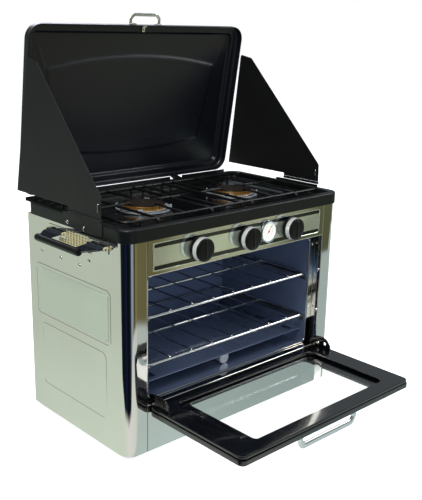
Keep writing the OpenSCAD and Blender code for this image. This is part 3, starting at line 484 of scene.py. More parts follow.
def platePiece(outlines, thickness, edge, place):
    # a flat plate with round edges; the first outline is its rim and the others are holes
    curve = bpy.data.curves.new("outline", "CURVE")
    curve.dimensions = "2D"
    curve.fill_mode = "BOTH"
    curve.extrude = max(thickness / 2 - edge, 0)
    curve.bevel_depth = edge
    curve.bevel_resolution = 2
    curve.offset = -edge
    for outline in outlines:
        spline = curve.splines.new("POLY")
        spline.points.add(len(outline) - 1)
        for point, (u, v) in zip(spline.points, outline):
            point.co = (u, v, 0, 1)
        spline.use_cyclic_u = True
    holder = addObject("outline", curve)
    evaluated = holder.evaluated_get(bpy.context.evaluated_depsgraph_get())
    mesh = bpy.data.meshes.new_from_object(evaluated)
    verts = [tuple(v.co) for v in mesh.vertices]
    faces = [tuple(p.vertices) for p in mesh.polygons]
    bpy.data.objects.remove(holder)
    bpy.data.meshes.remove(mesh)
    bpy.data.curves.remove(curve)
    return verts, faces, place


def foldedSheet(path, cuts, thickness, place, skip=()):
    # a bent sheet: path holds its (p, q) section, cuts the steps along its length, skip its openings
    points = [Vector(p) for p in path]
    n, m = len(points), len(cuts)
    offset = []
    for i, p in enumerate(points):
        ahead = points[min(i + 1, n - 1)] - points[max(i - 1, 0)]
        a = (points[i] - points[i - 1]).normalized() if i else ahead.normalized()
        b = (points[i + 1] - points[i]).normalized() if i < n - 1 else a
        out = Vector((-(a.y + b.y), a.x + b.x)).normalized()
        offset.append(p + out * thickness / max(out.dot(Vector((-a.y, a.x))), 0.3))
    verts = [(p.x, p.y, c) for layer in (points, offset) for c in cuts for p in layer]

    def index(layer, i, j):
        return layer * n * m + j * n + i

    solid = {(i, j) for i in range(n - 1) for j in range(m - 1)} - set(skip)
    faces = []
    for i, j in solid:
        corners = ((i, j), (i + 1, j), (i + 1, j + 1), (i, j + 1))
        faces.append(tuple(index(0, *c) for c in corners))
        faces.append(tuple(index(1, *c) for c in corners[:1] + corners[:0:-1]))
        sides = {(-1, 0): ((i, j), (i, j + 1)), (1, 0): ((i + 1, j), (i + 1, j + 1)),
                 (0, -1): ((i, j), (i + 1, j)), (0, 1): ((i, j + 1), (i + 1, j + 1))}
        for (di, dj), (a, b) in sides.items():
            if (i + di, j + dj) not in solid:
                faces.append((index(0, *a), index(0, *b), index(1, *b), index(1, *a)))
    return verts, faces, place


# Cabinet

cabinet = {"half": 260, "depth": 293, "top": 381, "tuck": 372, "rear": 274, "corner": 22, "opening": 217,
           "jamb": 18, "bend": 1.5, "sheet": 1.0, "seam": (52.2, 50.4, 48.6), "seamDepth": 0.35,
           "ventY": (93.4, 190.4), "ventZ": (338, 363.5)}
half, corner, opening, bend = (cabinet[key] for key in ("half", "corner", "opening", "bend"))
(ventLow, ventHigh), (seamRear, seamMid, seamFront) = cabinet["ventY"], cabinet["seam"]
sidePath = [(half, y) for y in (cabinet["depth"], cabinet["rear"], ventHigh, ventLow, seamRear)]
sidePath += [(half - cabinet["seamDepth"], seamMid), (half, seamFront), (half, corner + 8)]
sidePath += arc2d(half - corner, corner, corner, 0, -90, 16) + [(opening + 2, 0)]
sidePath += arc2d(opening + bend, bend, bend, -90, -180, 4) + [(opening, cabinet["jamb"])]
sideCuts = [0, *cabinet["ventZ"], cabinet["tuck"], cabinet["top"]]
for word, flip in bothSides:
    shell = foldedSheet(sidePath, sideCuts, -cabinet["sheet"], flip, skip={(2, 1), (0, 3)})
    makePiece(word + "SidePanel", [shell], "cabinet", "polished", [word + "_side_panel"], 50)

# pressed beads and the blank label: along Y and up, then the corner radius
beads = {"rects": ((44, 189, 270, 284, 9), (58, 52, 256, 172, 10)), "width": 1.6, "height": 0.35}
label = {"rect": (50, 195, 264, 278), "corner": 6, "profile": [(0, 0), (0, 0.35), (0.3, 0.5), (40, 0.5)]}
for word, flip in bothSides:
    place = onSide(flip, half)
    rings = [[(u, v, 0.0) for u, v in rect2d(*rect)] for rect in beads["rects"]]
    shapes = [tube(ring, beads["width"], 10, True, beads["height"], place) for ring in rings]
    makePiece(word + "PressedBeads", shapes, "cabinet", "polished")
plate = loft(label["rect"], label["corner"], label["profile"], place)
makePiece("blankRatingPlate", [plate], "cabinet", "label", ["rating_plate"])

screws = {"at": ((131, 310), (188, 310), (249, 310), (102, 324)), "head": (3.4, 1.6),
          "boltAt": (158, 380.5), "bolt": (3.8, 2.2), "band": 263,
          "hookX": (261, 265.6), "hookY": 107, "hookZ": (374.5, 381.5), "wire": 1.0}
(hookIn, hookOut), (hookLow, hookTop) = screws["hookX"], screws["hookZ"]
hook = [(x, screws["hookY"], z) for x, z in ((hookIn, hookTop), (hookOut, hookTop), (hookOut, hookLow),
                                             (hookIn, hookLow))]
hook = rounded2d(hook, 2.0, 5, False)
shapes = []
for word, flip in bothSides:
    shapes += [screwHead((half, *at), "x", *screws["head"], 20, flip) for at in screws["at"]]
    shapes.append(screwHead((screws["band"], *screws["boltAt"]), "x", *screws["bolt"], 20, flip))
    shapes.append(tube(hook, screws["wire"], 10, place=flip))
makePiece("sideScrews", shapes, "cabinet", "chrome", ["cabinet_screws"])

# woven mesh behind the openings: straight uprights, and cross wires crimped round them
vent = {"y": 91.4, "z": (336, 365.6), "wire": 1.0, "pitch": 4.4, "uprights": 23, "crossWires": 7,
        "uprightX": (258.2, 259.5), "crossX": 258.8, "crimp": 0.65, "crossSteps": 47}
shapes = []
for word, flip in bothSides:
    for k in range(vent["uprights"]):
        x, y = vent["uprightX"][k % 2], vent["y"] + k * vent["pitch"]
        shapes.append(tube([(x, y, z) for z in vent["z"]], vent["wire"], 6, place=flip, up=(1, 0, 0)))
    for k in range(vent["crossWires"]):
        z = vent["z"][0] + k * vent["pitch"]
        wire = [(vent["crossX"] + vent["crimp"] * cos(pi * i / 2), vent["y"] + vent["pitch"] * i / 2, z)
                for i in range(vent["crossSteps"])]
        shapes.append(tube(wire, vent["wire"], 6, place=flip, up=(1, 0, 0)))
makePiece("ventMesh", shapes, "cabinet", "yellowZinc", ["vent_screens"], 60)

# Front panels: each is one sheet bent back at the opening. The lower one makes room for the door's ears.
front = {"half": 216.7, "back": 18, "lintel": (381, 314, 312), "sill": (0, 71, 84, 86),
         "cuts": (-216.7, -211, -205, 205, 211, 216.7)}


def bentFront(heights, side):
    # a section down or up the face, round the bend and back into the opening
    *face, end = heights
    turnIn = arc2d(bend, end - side * bend, bend, 180, 180 - side * 90, 5)
    return [(0, z) for z in face] + turnIn + [(front["back"], end)]


alongX = lambda p: (p[2], p[0], p[1])
sheet = foldedSheet(bentFront(front["lintel"], -1), (-front["half"], front["half"]), 1.0, alongX)
makePiece("controlPanelSheet", [sheet], "cabinet", "polished", ["control_panel"], 50)
sheet = foldedSheet(bentFront(front["sill"], 1), front["cuts"], -1.0, alongX,
                    skip={(i, j) for i in range(1, 9) for j in (1, 3)})
makePiece("lowerFrontSheet", [sheet], "cabinet", "polished", ["lower_front_panel"], 50)

overlay = {"rect": (-207, 319, 207, 367), "corner": 5, "stripes": ((321, 328), (358.4, 365.2)), "margin": 3,
           "profile": [(0, 0), (0, 0.4), (0.5, 0.9), (1.6, 0.9), (2.0, 0.55), (20, 0.55)],
           "stripeProfile": [(0, 0.5), (0, 0.62), (0.2, 0.66), (2, 0.66)], "stripeCorner": 2.4}
face = loft(overlay["rect"], overlay["corner"], overlay["profile"], onFront)
makePiece("panelFace", [face], "cabinet", "printedPlate", ["panel_overlay"])
x0, x1 = overlay["rect"][0] + overlay["margin"], overlay["rect"][2] - overlay["margin"]
shapes = [loft((x0, z0, x1, z1), overlay["stripeCorner"], overlay["stripeProfile"], onFront)
          for z0, z1 in overlay["stripes"]]
makePiece("panelStripes", shapes, "cabinet", "blackEnamel")

feet = {"x": (-226, 226), "y": (34, 259),
        "profile": [(0, -8), (9.5, -8), (11.2, -7), (12.8, -1), (12.4, 0), (0, 0)]}
shapes = [turned(feet["profile"], (x, y, 0)) for x in feet["x"] for y in feet["y"]]
makePiece("rubberFeet", shapes, "cabinet", "rubber", ["feet"])

# Back panel: a flat sheet with a pressed frame, a flange, screws and rows of louvres
back = {"rect": (-259, 0, 259, 372), "flange": ((-241, 292, 370), (241, 293, 381)),
        "profile": [(0, -1), (0, -0.3), (0.4, 0), (26, 0), (27.5, -0.8), (80, -0.8)],
        "louvreX": (-150, -90, 90, 150), "louvreZ": (285, 300, 315, 330), "louvre": (22, 2.5, 2.4),
        "louvreProfile": [(0, -0.8), (0.8, 0.6), (1.8, 0.9), (2.3, 0.9)],
        "screwX": (-250, 250), "screwZ": (16, 120, 240, 350), "head": (3.2, 1.4)}
onBack = acrossY(same, cabinet["depth"])
shapes = [block(*back["flange"], 0.3), loft(back["rect"], 3, back["profile"], onBack)]
long, high, r = back["louvre"]
for z in back["louvreZ"]:
    for x in back["louvreX"]:
        shapes.append(loft((x - long, z - high, x + long, z + high), r, back["louvreProfile"], onBack))
for x in back["screwX"]:
    shapes += [screwHead((x, cabinet["depth"], z), "y", *back["head"]) for z in back["screwZ"]]
makePiece("backSheet", shapes, "cabinet", "satinSteel", ["back_panel"])
print("stage: cabinet")

# Cook-top

burner = {
    "x": 110, "y": 146.5, "ribReach": 58, "floor": 383.5, "tabs": 4, "teeth": 54,
    "tab": ((47.5, -4.5, 384.2), (50.4, 4.5, 393.5)), "tooth": ((36.6, -1.3, 387.2), (38.5, 1.3, 394.6)),
    "bowl": [(12, 377.6), (36, 377.6), (40, 379), (43.4, 383.8), (46, 384.2), (50.2, 384.2), (50.9, 385),
             (50.9, 387.5), (50.3, 387.8), (49.6, 387.5), (49.4, 385.2), (46, 384.9), (42.6, 384.8),
             (39.2, 380), (36, 378.4), (12, 378.4)],
    "cup": [(30, 384.4), (34, 384.4), (41.2, 386.2), (43.2, 387.6), (42.8, 388.1), (36.6, 387.6), (30, 386.6)],
    "head": [(0, 373.5), (10.8, 373.5), (10.8, 382), (16, 383.4), (29, 384.4), (29, 386.9), (37.2, 387.4),
             (37.2, 394.2), (38.4, 394.5), (38.2, 395.1), (28, 395.1), (28, 391), (0, 391)],
    "cap": [(0, 391.5), (26.8, 391.5), (26.8, 394.9), (29.6, 395.1), (30.8, 395.5), (30.6, 396.2), (28, 396.7),
            (12, 396.9), (10.8, 396.5), (9.4, 396.5), (8.6, 396.9), (2.6, 396.9), (2.2, 396.4), (0, 396.4)]}
burnersAt = [(-burner["x"], burner["y"]), (burner["x"], burner["y"])]

# the section is (inset, height, radius): up the band, over its edge and down into the well
tray = {"rect": (-263, -3, 263, 296), "corner": 25,
        "section": [(1.2, 380, 0), (1.2, 372.5, 0), (0, 372.5, 0.5), (0, 394.5, 3.2), (14.6, 394.5, 2.4),
                    (16.2, 383.5, 2.6), (34, 383.5, 0)],
        "well": (-229.4, 30.6, 229.4, 262.4, 3), "hole": 46.2, "wellZ": 383.2, "wellSheet": 0.6, "rib": 1.6}
profile = roundedBy(tray["section"], 5, False)
rimShape = loft(tray["rect"], tray["corner"], profile, capStart=False, capEnd=False, n=12)
outlines = [rect2d(*tray["well"])] + [circle2d(*at, tray["hole"], 48) for at in burnersAt]
shapes = [platePiece(outlines, tray["wellSheet"], 0.05, lambda p: (p[0], p[1], tray["wellZ"] + p[2]))]
for at in burnersAt:
    rib = [(x, y, burner["floor"]) for x, y in circle2d(*at, burner["ribReach"], 56)]
    shapes.append(tube(rib, tray["rib"], 8, True, 0.5))
makePiece("cooktopTray", shapes, "cabinet", "blackEnamel", ["cooktop_tray"], 40)
makePiece("cooktopBand", [rimShape], "cabinet", "bandEnamel", ["cooktop_tray"], 40)

# the band's slots are not cut: thin black patches in the rubber finish lie on its sides and paint the shade inside
# the slots
slotShadePatch = {"rect": (30, 382.6, 54, 385.6), "corner": 1.4, "profile": [(0, 0), (0.2, 0.12), (1.4, 0.12)]}
shapes = [loft(slotShadePatch["rect"], slotShadePatch["corner"], slotShadePatch["profile"], onSide(flip, screws["band"]))
          for word, flip in bothSides]
makePiece("slotShadePatches", shapes, "cabinet", "rubber")


def spun(at, a):
    # turned by a about a burner's axis
    return lambda p: (at[0] + p[0] * cos(a) - p[1] * sin(a),
                      at[1] + p[0] * sin(a) + p[1] * cos(a), p[2])


bowls, heads, caps = [], [], []
for at in burnersAt:
    centre = (*at, 0)
    bowls += [turned(burner[key], centre, segments=64) for key in ("bowl", "cup")]
    for k in range(burner["tabs"]):
        bowls.append(block(*burner["tab"], 0.4, spun(at, radians(45 + 90 * k))))
    heads.append(turned(burner["head"], centre, segments=72))
    for k in range(burner["teeth"]):
        heads.append(block(*burner["tooth"], 0.3, spun(at, tau * k / burner["teeth"])))
    caps.append(turned(burner["cap"], centre, segments=64))
makePiece("dripBowls", bowls, "cabinet", "aluminium", ["drip_bowls"])
makePiece("burnerHeads", heads, "cabinet", "brass", ["burner_heads"])
makePiece("burnerCaps", caps, "cabinet", "capBlack", ["burner_caps"])

# the finger bars start beside a burner's centre, run level for a little and slope down to the loop
grate = {"x": 235, "y": (35, 258), "z": 397, "wire": 2.5, "foot": 384.6, "corner": 14, "middle": 24,
         "bars": (50, 170), "barOut": 4.5, "fingerStart": 33, "fingerLevel": 14, "fingerRise": 1.4,
         "fingerReach": (125, 86), "feet": (-205, -24, 24, 205)}
gx, (gy0, gy1), gz, gr = grate["x"], grate["y"], grate["z"], grate["wire"]
out, foot, start, level = (grate[key] for key in ("barOut", "foot", "fingerStart", "fingerLevel"))
fingerZ = gz + grate["fingerRise"]
shapes = [tube([(x, y, gz) for x, y in rect2d(-gx, gy0, gx, gy1, grate["corner"], 8)], gr, 12, True)]
for x in (-grate["middle"], grate["middle"]):
    shapes.append(tube([(x, gy0, gz), (x, gy1, gz)], gr))
for s in (-1, 1):
    for x in (s * v for v in grate["bars"]):
        bar = [(x, gy0 - out, foot), (x, gy0 - out, gz), (x, gy1 + out, gz), (x, gy1 + out, foot)]
        shapes.append(tube(rounded2d(bar, [0, 7, 7, 0], 6, False), gr, up=(1, 0, 0)))
    cx, cy = s * burner["x"], burner["y"]
    for dx, dy in ((1, 0), (-1, 0), (0, 1), (0, -1)):
        endX = cx + dx * grate["fingerReach"][dx != s]
        endY = cy if dx else gy1 if dy > 0 else gy0
        shapes.append(tube([(cx + dx * start, cy + dy * start, fingerZ),
                            (cx + dx * (start + level), cy + dy * (start + level), fingerZ),
                            (endX, endY, gz)], gr))
for x in grate["feet"]:
    for y in (gy0 - 0.5, gy1 + 0.5):
        shapes.append(tube([(x, y, gz), (x, y, foot)], gr, up=(1, 0, 0)))
makePiece("potGrate", shapes, "cabinet", "grateBlack", ["pot_grate"], 50)
print("stage: cook-top")

# Lid, in closed coordinates turned open about its pins; its section is (inset, height over the rim, radius)

lid = {"rect": (-255, -8, 255, 302), "corner": 27, "rim": 403.9, "pin": (306, 387.9), "open": 81,
       "section": [(90, 24, 0), (16.2, 24, 5), (13.6, 16, 4), (0, 16, 6), (0, 0, 0.6), (1.4, 0, 0.6),
                   (1.4, 14.6, 5), (15.4, 14.6, 3.5), (18, 22.8, 4.5), (90, 22.8, 0)]}


def lidPose(p):
    a = radians(-lid["open"])
    dy, dz = p[1] - lid["pin"][0], p[2] - lid["pin"][1]
    return (p[0], lid["pin"][0] + dy * cos(a) - dz * sin(a),
            lid["pin"][1] + dy * sin(a) + dz * cos(a))


rim = lid["rim"]
profile = roundedBy([(d, rim + h, r) for d, h, r in lid["section"]], 6, False)
shell = loft(lid["rect"], lid["corner"], profile, lidPose, n=12)

# x across and y towards the bail, both from the panel's centre; arcs are (middle, drop at half)
panel = {"half": (231, 127), "centreY": 147, "z": 22.7, "cells": (150, 90), "arcHalf": 215, "topArc": (96, -24),
         "lowArc": (-98, 20), "side": (205, 0.16), "field": 1.7, "fade": 4, "line": 0.45, "lineHalf": 2.2,
         "topLine": (9, 195, 8), "lowLine": (22, 0.03, 150, 30), "rib": (207, 74, 222, 112), "ribHeight": 1.0,
         "ribHalf": 3.0}


def smooth(v):
    v = max(0.0, min(1.0, v))
    return v ** 2 * (3 - 2 * v)


def relief(x, y):
    # a raised field between two arcs with a line along each, and slanted ribs to the lid's rear corners
    top, low = (panel[key][0] + panel[key][1] * (x / panel["arcHalf"]) ** 2 for key in ("topArc", "lowArc"))
    side = panel["side"][0] - abs(x) + panel["side"][1] * (y - top)
    h = panel["field"] * prod(smooth(gap / panel["fade"]) for gap in (top - y, y - low, side))
    inset, reach, fade = panel["topLine"]
    h += panel["line"] * smooth(1 - abs(y - (top - inset)) / panel["lineHalf"]) * smooth((reach - abs(x)) / fade)
    inset, slope, reach, fade = panel["lowLine"]
    offLine = abs(y - (low + inset + slope * x))
    h += panel["line"] * smooth(1 - offLine / panel["lineHalf"]) * smooth((reach - abs(x)) / fade)
    for s in (-1, 1):
        ax, ay, bx, by = (v * w for v, w in zip(panel["rib"], (s, 1, s, 1)))
        t = ((x - ax) * (bx - ax) + (y - ay) * (by - ay)) / ((bx - ax) ** 2 + (by - ay) ** 2)
        t = max(0.0, min(1.0, t))
        away = hypot(x - ax - t * (bx - ax), y - ay - t * (by - ay))
        h += panel["ribHeight"] * smooth(1 - away / panel["ribHalf"])
    return h


(cols, rows), (halfX, halfY) = panel["cells"], panel["half"]
verts, faces = [], []
for j in range(rows + 1):
    for i in range(cols + 1):
        x, y = -halfX + 2 * halfX * i / cols, halfY - 2 * halfY * j / rows
        verts.append((x, panel["centreY"] - y, rim + panel["z"] - relief(x, y)))
        if i < cols and j < rows:
            a = j * (cols + 1) + i
            faces.append((a, a + 1, a + cols + 2, a + cols + 1))
makePiece("lidShell", [shell, (verts, faces, lidPose)], "lid", "lidEnamel", ["lid_shell"], 50)

# bail and catch: Y is measured from the lid's front edge, negative outwards
bail = {"half": 34, "bend": 26, "out": (0.5, 11, 18), "z": 413.9, "wire": 3.0, "flat": 0.4,
        "footX": 30, "foot": (6, -2.2, -0.1, 406.6, 415.1)}
y0 = lid["rect"][1]
near, middle, far = (y0 - out for out in bail["out"])
path = [(-bail["half"], near), (-bail["half"], middle), (-bail["bend"], far), (bail["bend"], far),
        (bail["half"], middle), (bail["half"], near)]
path = rounded2d([(x, y, bail["z"]) for x, y in path], 5, 5, False)
shapes = [tube(path, bail["wire"], 12, flat=bail["flat"], place=lidPose)]
wide, yLow, yHigh, zLow, zHigh = bail["foot"]
for x in (-bail["footX"], bail["footX"]):
    shapes.append(block((x - wide, y0 + yLow, zLow), (x + wide, y0 + yHigh, zHigh), 0.6, lidPose))
makePiece("lidBail", shapes, "lid", "chrome", ["lid_handle"])
shapes = [block((-4.5, y0 + 1.5, 412.1), (4.5, y0 + 5, 418.6), 0.7, lidPose),
          block((-3.6, y0 + 3, 416), (3.6, y0 + 14.4, 418.2), 0.6, lidPose),
          screwHead((0, y0 + 10, 416.2), "z", 2.6, -1.6, place=lidPose)]
makePiece("lidCatch", shapes, "lid", "chrome", ["lid_catch"])
print("stage: lid")

# Wind baffles: local coordinates are along Y, up from the hinge, and out

leaf = {"x": 265.6, "y": 57, "z": 401.1, "lean": 2.0, "steel": 1.2, "knuckle": 93 / 5,
        "outline": [(57, 2.9, 0.6), (57, 38, 7), (248.9, 238, 6), (279.9, 244, 5), (317.2, 8, 2), (150, 8, 2),
                    (150, 2.9, 0.6)],
        "clipY": 64, "clipUp": (14, 26), "clipOut": 1.9, "fixedX": 263.6,
        "fixed": [(57, 373.6, 2), (57, 398.1, 1), (176, 398.1, 5), (150, 373.6, 5)]}


def bafflePose(p):
    a = radians(-leaf["lean"])
    return (leaf["x"] + p[2] * cos(a) + p[1] * sin(a), p[0],
            leaf["z"] - p[2] * sin(a) + p[1] * cos(a))


def barrel(i, flip):
    # the hinge's knuckle number i
    end = leaf["knuckle"]
    profile = [(0, 0.2), (2.2, 0.2), (2.6, 0.6), (2.6, end - 0.6), (2.2, end - 0.2), (0, end - 0.2)]
    return turned(profile, (leaf["x"], leaf["y"] + i * end, leaf["z"]), "y", 20, flip)


outline = roundedBy(leaf["outline"])
(low, high), out = leaf["clipUp"], leaf["clipOut"]
wire = rounded2d([(leaf["clipY"], v, w) for v, w in ((low, -out), (high, -out), (high, out), (low, out))], 1.2, 4)
fixedLeaf = roundedBy(leaf["fixed"], 4)
fixed = []
for word, flip in bothSides:
    place = chain(bafflePose, flip)
    shapes = [platePiece([outline], leaf["steel"], 0.35, place)] + [barrel(i, flip) for i in (0, 2, 4)]
    makePiece(word + "BafflePlate", shapes, "baffle_" + word, "satinBlack", [word + "_baffle"], 40)
    shapes = [tube(wire, 1.0, 10, True, place=place, up=(1, 0, 0))]
    makePiece(word + "BaffleWire", shapes, "baffle_" + word, "chrome", [word + "_baffle_clip"], 60)
    fixed.append(platePiece([fixedLeaf], leaf["steel"], 0.3, onSide(flip, leaf["fixedX"])))
    fixed += [barrel(i, flip) for i in (1, 3)]
makePiece("hingeLeaves", fixed, "cabinet", "satinBlack", ["baffle_leaves"], 40)
print("stage: baffles")

# Side handles: local coordinates are out from the pin, along Y, and up

hold = {"x": 266.5, "y": 132.44, "z": 357, "droop": 7, "foot": 83.5, "armIn": 38.5, "gripHalf": 64,
        "gripOut": 34, "steel": 2.4,
        "arm": [(0, 83.5, 1), (9, 83.5, 5), (35, 61, 4), (35, 40, 5), (11, 38.5, 5), (0, 38.5, 1)]}


def handlePose(p):
    a = radians(hold["droop"])
    return (hold["x"] + p[0] * cos(a) + p[2] * sin(a), p[1],
            hold["z"] - p[0] * sin(a) + p[2] * cos(a))


for word, flip in bothSides:
    place = chain(handlePose, flip)
    shapes = []
    for s in (-1, 1):
        arm = roundedBy([(out, hold["y"] + s * v, r) for out, v, r in hold["arm"]], 4)
        shapes.append(platePiece([arm], hold["steel"], 0.7, place))
        lo, hi = sorted((hold["y"] + s * hold["foot"], hold["y"] + s * (hold["armIn"] - 1)))
        curl = [(0, lo), (3, lo), (3.5, lo + 0.5), (3.5, hi - 0.5), (3, hi), (0, hi)]
        shapes.append(turned(curl, (0, 0, 0), "y", 20, place))
    # the arms' black paint carries a painted blue reflection in its colour
    makePiece(word + "HandleArms", shapes, "handle_" + word, "armBlackWithPaintedBlue", [word + "_handle_arms"], 40)
    lo, hi = hold["y"] - hold["gripHalf"], hold["y"] + hold["gripHalf"]
    grip = [(0, lo), (3.6, lo), (5.6, lo + 0.8), (6.4, lo + 3), (6.5, lo + 12),
            (6.5, hi - 12), (6.4, hi - 3), (5.6, hi - 0.8), (3.6, hi), (0, hi)]
    shapes = [turned(grip, (hold["gripOut"], 0, 0), "y", 28, place)]
    makePiece(word + "Grip", shapes, "handle_" + word, "blackPlastic", [word + "_handle_grip"], 40)

# each handle turns in two brackets: a polished plate with two ears and two screws
bracket = {"y": (49, 170), "plateY": (-4.3, 50.3), "plateX": (260, 261.5), "plateZ": (348, 366),
           "earY": (-4.3, 46.3), "ear": 4, "screwY": 23, "screwZ": (351, 363), "head": (2.2, 1.2)}
ear = roundedBy([(260.8, 353.5, 0), (266.5, 353.5, 3), (270, 357, 3), (266.5, 360.5, 3), (260.8, 360.5, 0)], 4)
(plateIn, plateOut), (plateLow, plateTop) = bracket["plateX"], bracket["plateZ"]
lugs, lugPlates = [], []
for word, flip in bothSides:
    for y in bracket["y"]:
        y0, y1 = (y + v for v in bracket["plateY"])
        lugPlates.append(block((plateIn, y0, plateLow), (plateOut, y1, plateTop), 0.5, flip))
        for at in bracket["earY"]:
            place = acrossY(flip, y + at + bracket["ear"] / 2)
            lugs.append(platePiece([ear], bracket["ear"], 0.4, place))
        for z in bracket["screwZ"]:
            centre = (plateOut - 0.1, y + bracket["screwY"], z)
            lugPlates.append(screwHead(centre, "x", *bracket["head"], 14, flip))
makePiece("lugPlates", lugPlates, "cabinet", "polished", ["handle_brackets"], 40)
makePiece("handleLugs", lugs, "cabinet", "yellowZinc", ["handle_brackets"], 40)
print("stage: handles")

# Controls: profiles run out from the panel, along negative Y

knob = {"x": {"left": -112, "oven": 2, "right": 116}, "y": -3.8, "z": 344,
        "ring": [(19.2, -7.8), (20.4, -7.8), (20.9, -8.4), (20.7, -13.8), (20, -16.2), (19, -16.6)],
        "face": [(0, 0), (19.6, 0), (20.2, -0.6), (20.4, -7.8), (19.4, -8), (19.4, -16), (20, -16.5),
                 (20.1, -17.2), (19.8, -18.6), (18.6, -19.6), (14, -20.3), (0, -20.5)],
        "ridge": [(0, 16), (0, 20.2), (0.6, 20.8), (1.6, 21.1), (2.6, 21.2)], "ridgeHalf": (3.2, 16)}
wide, tall = knob["ridgeHalf"]
for word, x in knob["x"].items():
    z, body = knob["z"], "control_" + word
    centre = (x, knob["y"], z)
    makePiece(word + "KnobRing", [turned(knob["ring"], centre, "y", 56)], body, "satinRing", (), 40)
    ridge = loft((x - wide, z - tall, x + wide, z + tall), 3.1, knob["ridge"],
                 lambda p: (p[0], knob["y"] - p[2], p[1]), n=6)
    makePiece(word + "KnobFace", [turned(knob["face"], centre, "y", 56), ridge], body,
              "blackPlastic", [word + "_knob"], 40)

gaugeAt = (gauge["x"], 0, gauge["z"])
gaugeParts = {
    "case": [(13.5, 7), (13.5, -0.8), (19.6, -0.8), (20.5, -1.6), (20.5, -6.6), (19.9, -8), (18.9, -8.4),
             (18, -8), (17.7, -6.8), (17.7, -4.7), (1.5, -4.6), (1.5, 7)],
    "dial": [(0, -4.65), (17.6, -4.65), (17.6, -5.4), (17.3, -5.6), (0, -5.6)],
    "hub": [(0, -5.95), (2.2, -5.95), (2.2, -6.4), (1.8, -6.6), (0, -6.6)],
    "lens": [(0, -7.1), (17.6, -7.1), (17.6, -7.7), (15, -8.1), (8, -8.5), (0, -8.6)],
    "needle": [(-0.6, -6), (0.6, -6), (1.0, 0), (0.25, 14.2), (-0.25, 14.2), (-1.0, 0)]}


def needlePose(p):
    a = radians(gauge["needleTurn"])
    return (gauge["x"] + p[0] * cos(a) + p[1] * sin(a), -6.0 - p[2],
            gauge["z"] - p[0] * sin(a) + p[1] * cos(a))


shapes = [turned(gaugeParts["case"], gaugeAt, "y", 64)]
makePiece("gaugeCase", shapes, "cabinet", "chrome", ["thermometer_case"], 40)
shapes = [turned(gaugeParts["dial"], gaugeAt, "y", 56)]
makePiece("gaugeDial", shapes, "cabinet", "dial", ["thermometer_dial"])
shapes = [platePiece([gaugeParts["needle"]], 0.4, 0.05, needlePose), turned(gaugeParts["hub"], gaugeAt, "y", 24)]
makePiece("gaugeNeedle", shapes, "needle", "red", ["thermometer_needle"])
shapes = [turned(gaugeParts["lens"], gaugeAt, "y", 56)]
makePiece("gaugeLens", shapes, "cabinet", "glass", ["thermometer_lens"])

# gas inlet: a nut on the right side, a threaded end outside it and a collar within
inlet = {"y": 36, "z": 328, "nut": 12, "nutX": 263, "nutThick": 5, "threads": 9, "pitch": 1.5,
         "start": [(0, 261), (12, 261), (12, 265.4), (8, 266)],
         "end": [(7, 280), (3.2, 280), (3.2, 270), (0, 270)],
         "collar": [(0, 244), (12, 244), (12, 258.6), (0, 258.6)]}
thread = list(inlet["start"])
for k in range(inlet["threads"]):
    thread += [(7.2, 266.4 + k * inlet["pitch"]), (8, 267.1 + k * inlet["pitch"])]
centre = (0, inlet["y"], inlet["z"])
nut = rounded2d(circle2d(0, 0, inlet["nut"], 6), 1.0, 2)
nutPlace = lambda p: (inlet["nutX"] + p[2], inlet["y"] + p[0], inlet["z"] + p[1])
shapes = [turned(thread + inlet["end"], centre, "x", 32), platePiece([nut], inlet["nutThick"], 0.6, nutPlace),
          turned(inlet["collar"], centre, "x", 24)]
makePiece("inletFitting", shapes, "cabinet", "brass", ["inlet_fitting"], 40)
print("stage: controls")

# Oven: the liner's profiles are (inset, depth) points from its mouth to its rear wall

oven = {"half": 203, "z": (88, 306), "corner": 9, "sheet": 1, "rackZ": (142.2, 228.2), "screwY": (30, 254),
        "inner": [(-1.4, 18.0), (-1.4, 18.5), (-0.6, 18.5), (0, 19.2), (0, 264), (4, 268), (90, 268)],
        "outer": [(0, 19), (0, 269), (6, 269), (90, 269)],
        "flangeTop": ((-216.6, 18, 307), (216.6, 18.5, 311.6)),
        "flangeSide": ((204.2, 18, 150), (216.6, 18.5, 307)), "lip": (0.2, 18.6, 0.9)}
halfX, (low, high), sheet = oven["half"], oven["z"], oven["sheet"]
inward = acrossY(same, 0)
shapes = [loft((-halfX, low, halfX, high), oven["corner"], oven["inner"], inward, capStart=False, n=6),
          loft((-halfX - sheet, low - sheet, halfX + sheet, high + sheet), oven["corner"] - sheet, oven["outer"],
               inward, capStart=False, n=4)]
# the flange round the mouth stops above the room that the door's ears swing through
shapes.append(block(*oven["flangeTop"], 0.1))
for word, flip in bothSides:
    shapes += [screwHead((-halfX, y, z - 6), "x", 3, 1.2, place=flip)
               for z in oven["rackZ"] for y in oven["screwY"]]
    shapes.append(block(*oven["flangeSide"], 0.1, flip))
makePiece("ovenLiner", shapes, "cabinet", "blueEnamel", ["oven_liner"], 40)
gap, lipY, lipWire = oven["lip"]
lip = rect2d(-halfX + gap, low + gap, halfX - gap, high - gap, oven["corner"], 6)
shapes = [tube([(x, lipY, z) for x, z in lip], lipWire, 8, True, up=(0, 1, 0))]
makePiece("linerLip", shapes, "cabinet", "chrome")

# polished strips that trim the oven's mouth beside the jambs, each with its screws
strip = {"box": ((204.6, 17.2, 138), (216.4, 17.9, 310.5)), "screwX": 210.5, "screwY": 17.3,
         "screwZ": (160, 225, 292), "head": (2.4, -1.4)}
shapes = []
for word, flip in bothSides:
    shapes.append(block(*strip["box"], 0.3, flip))
    shapes += [screwHead((strip["screwX"], strip["screwY"], z), "y", *strip["head"], place=flip)
               for z in strip["screwZ"]]
makePiece("mouthStrips", shapes, "cabinet", "polished")

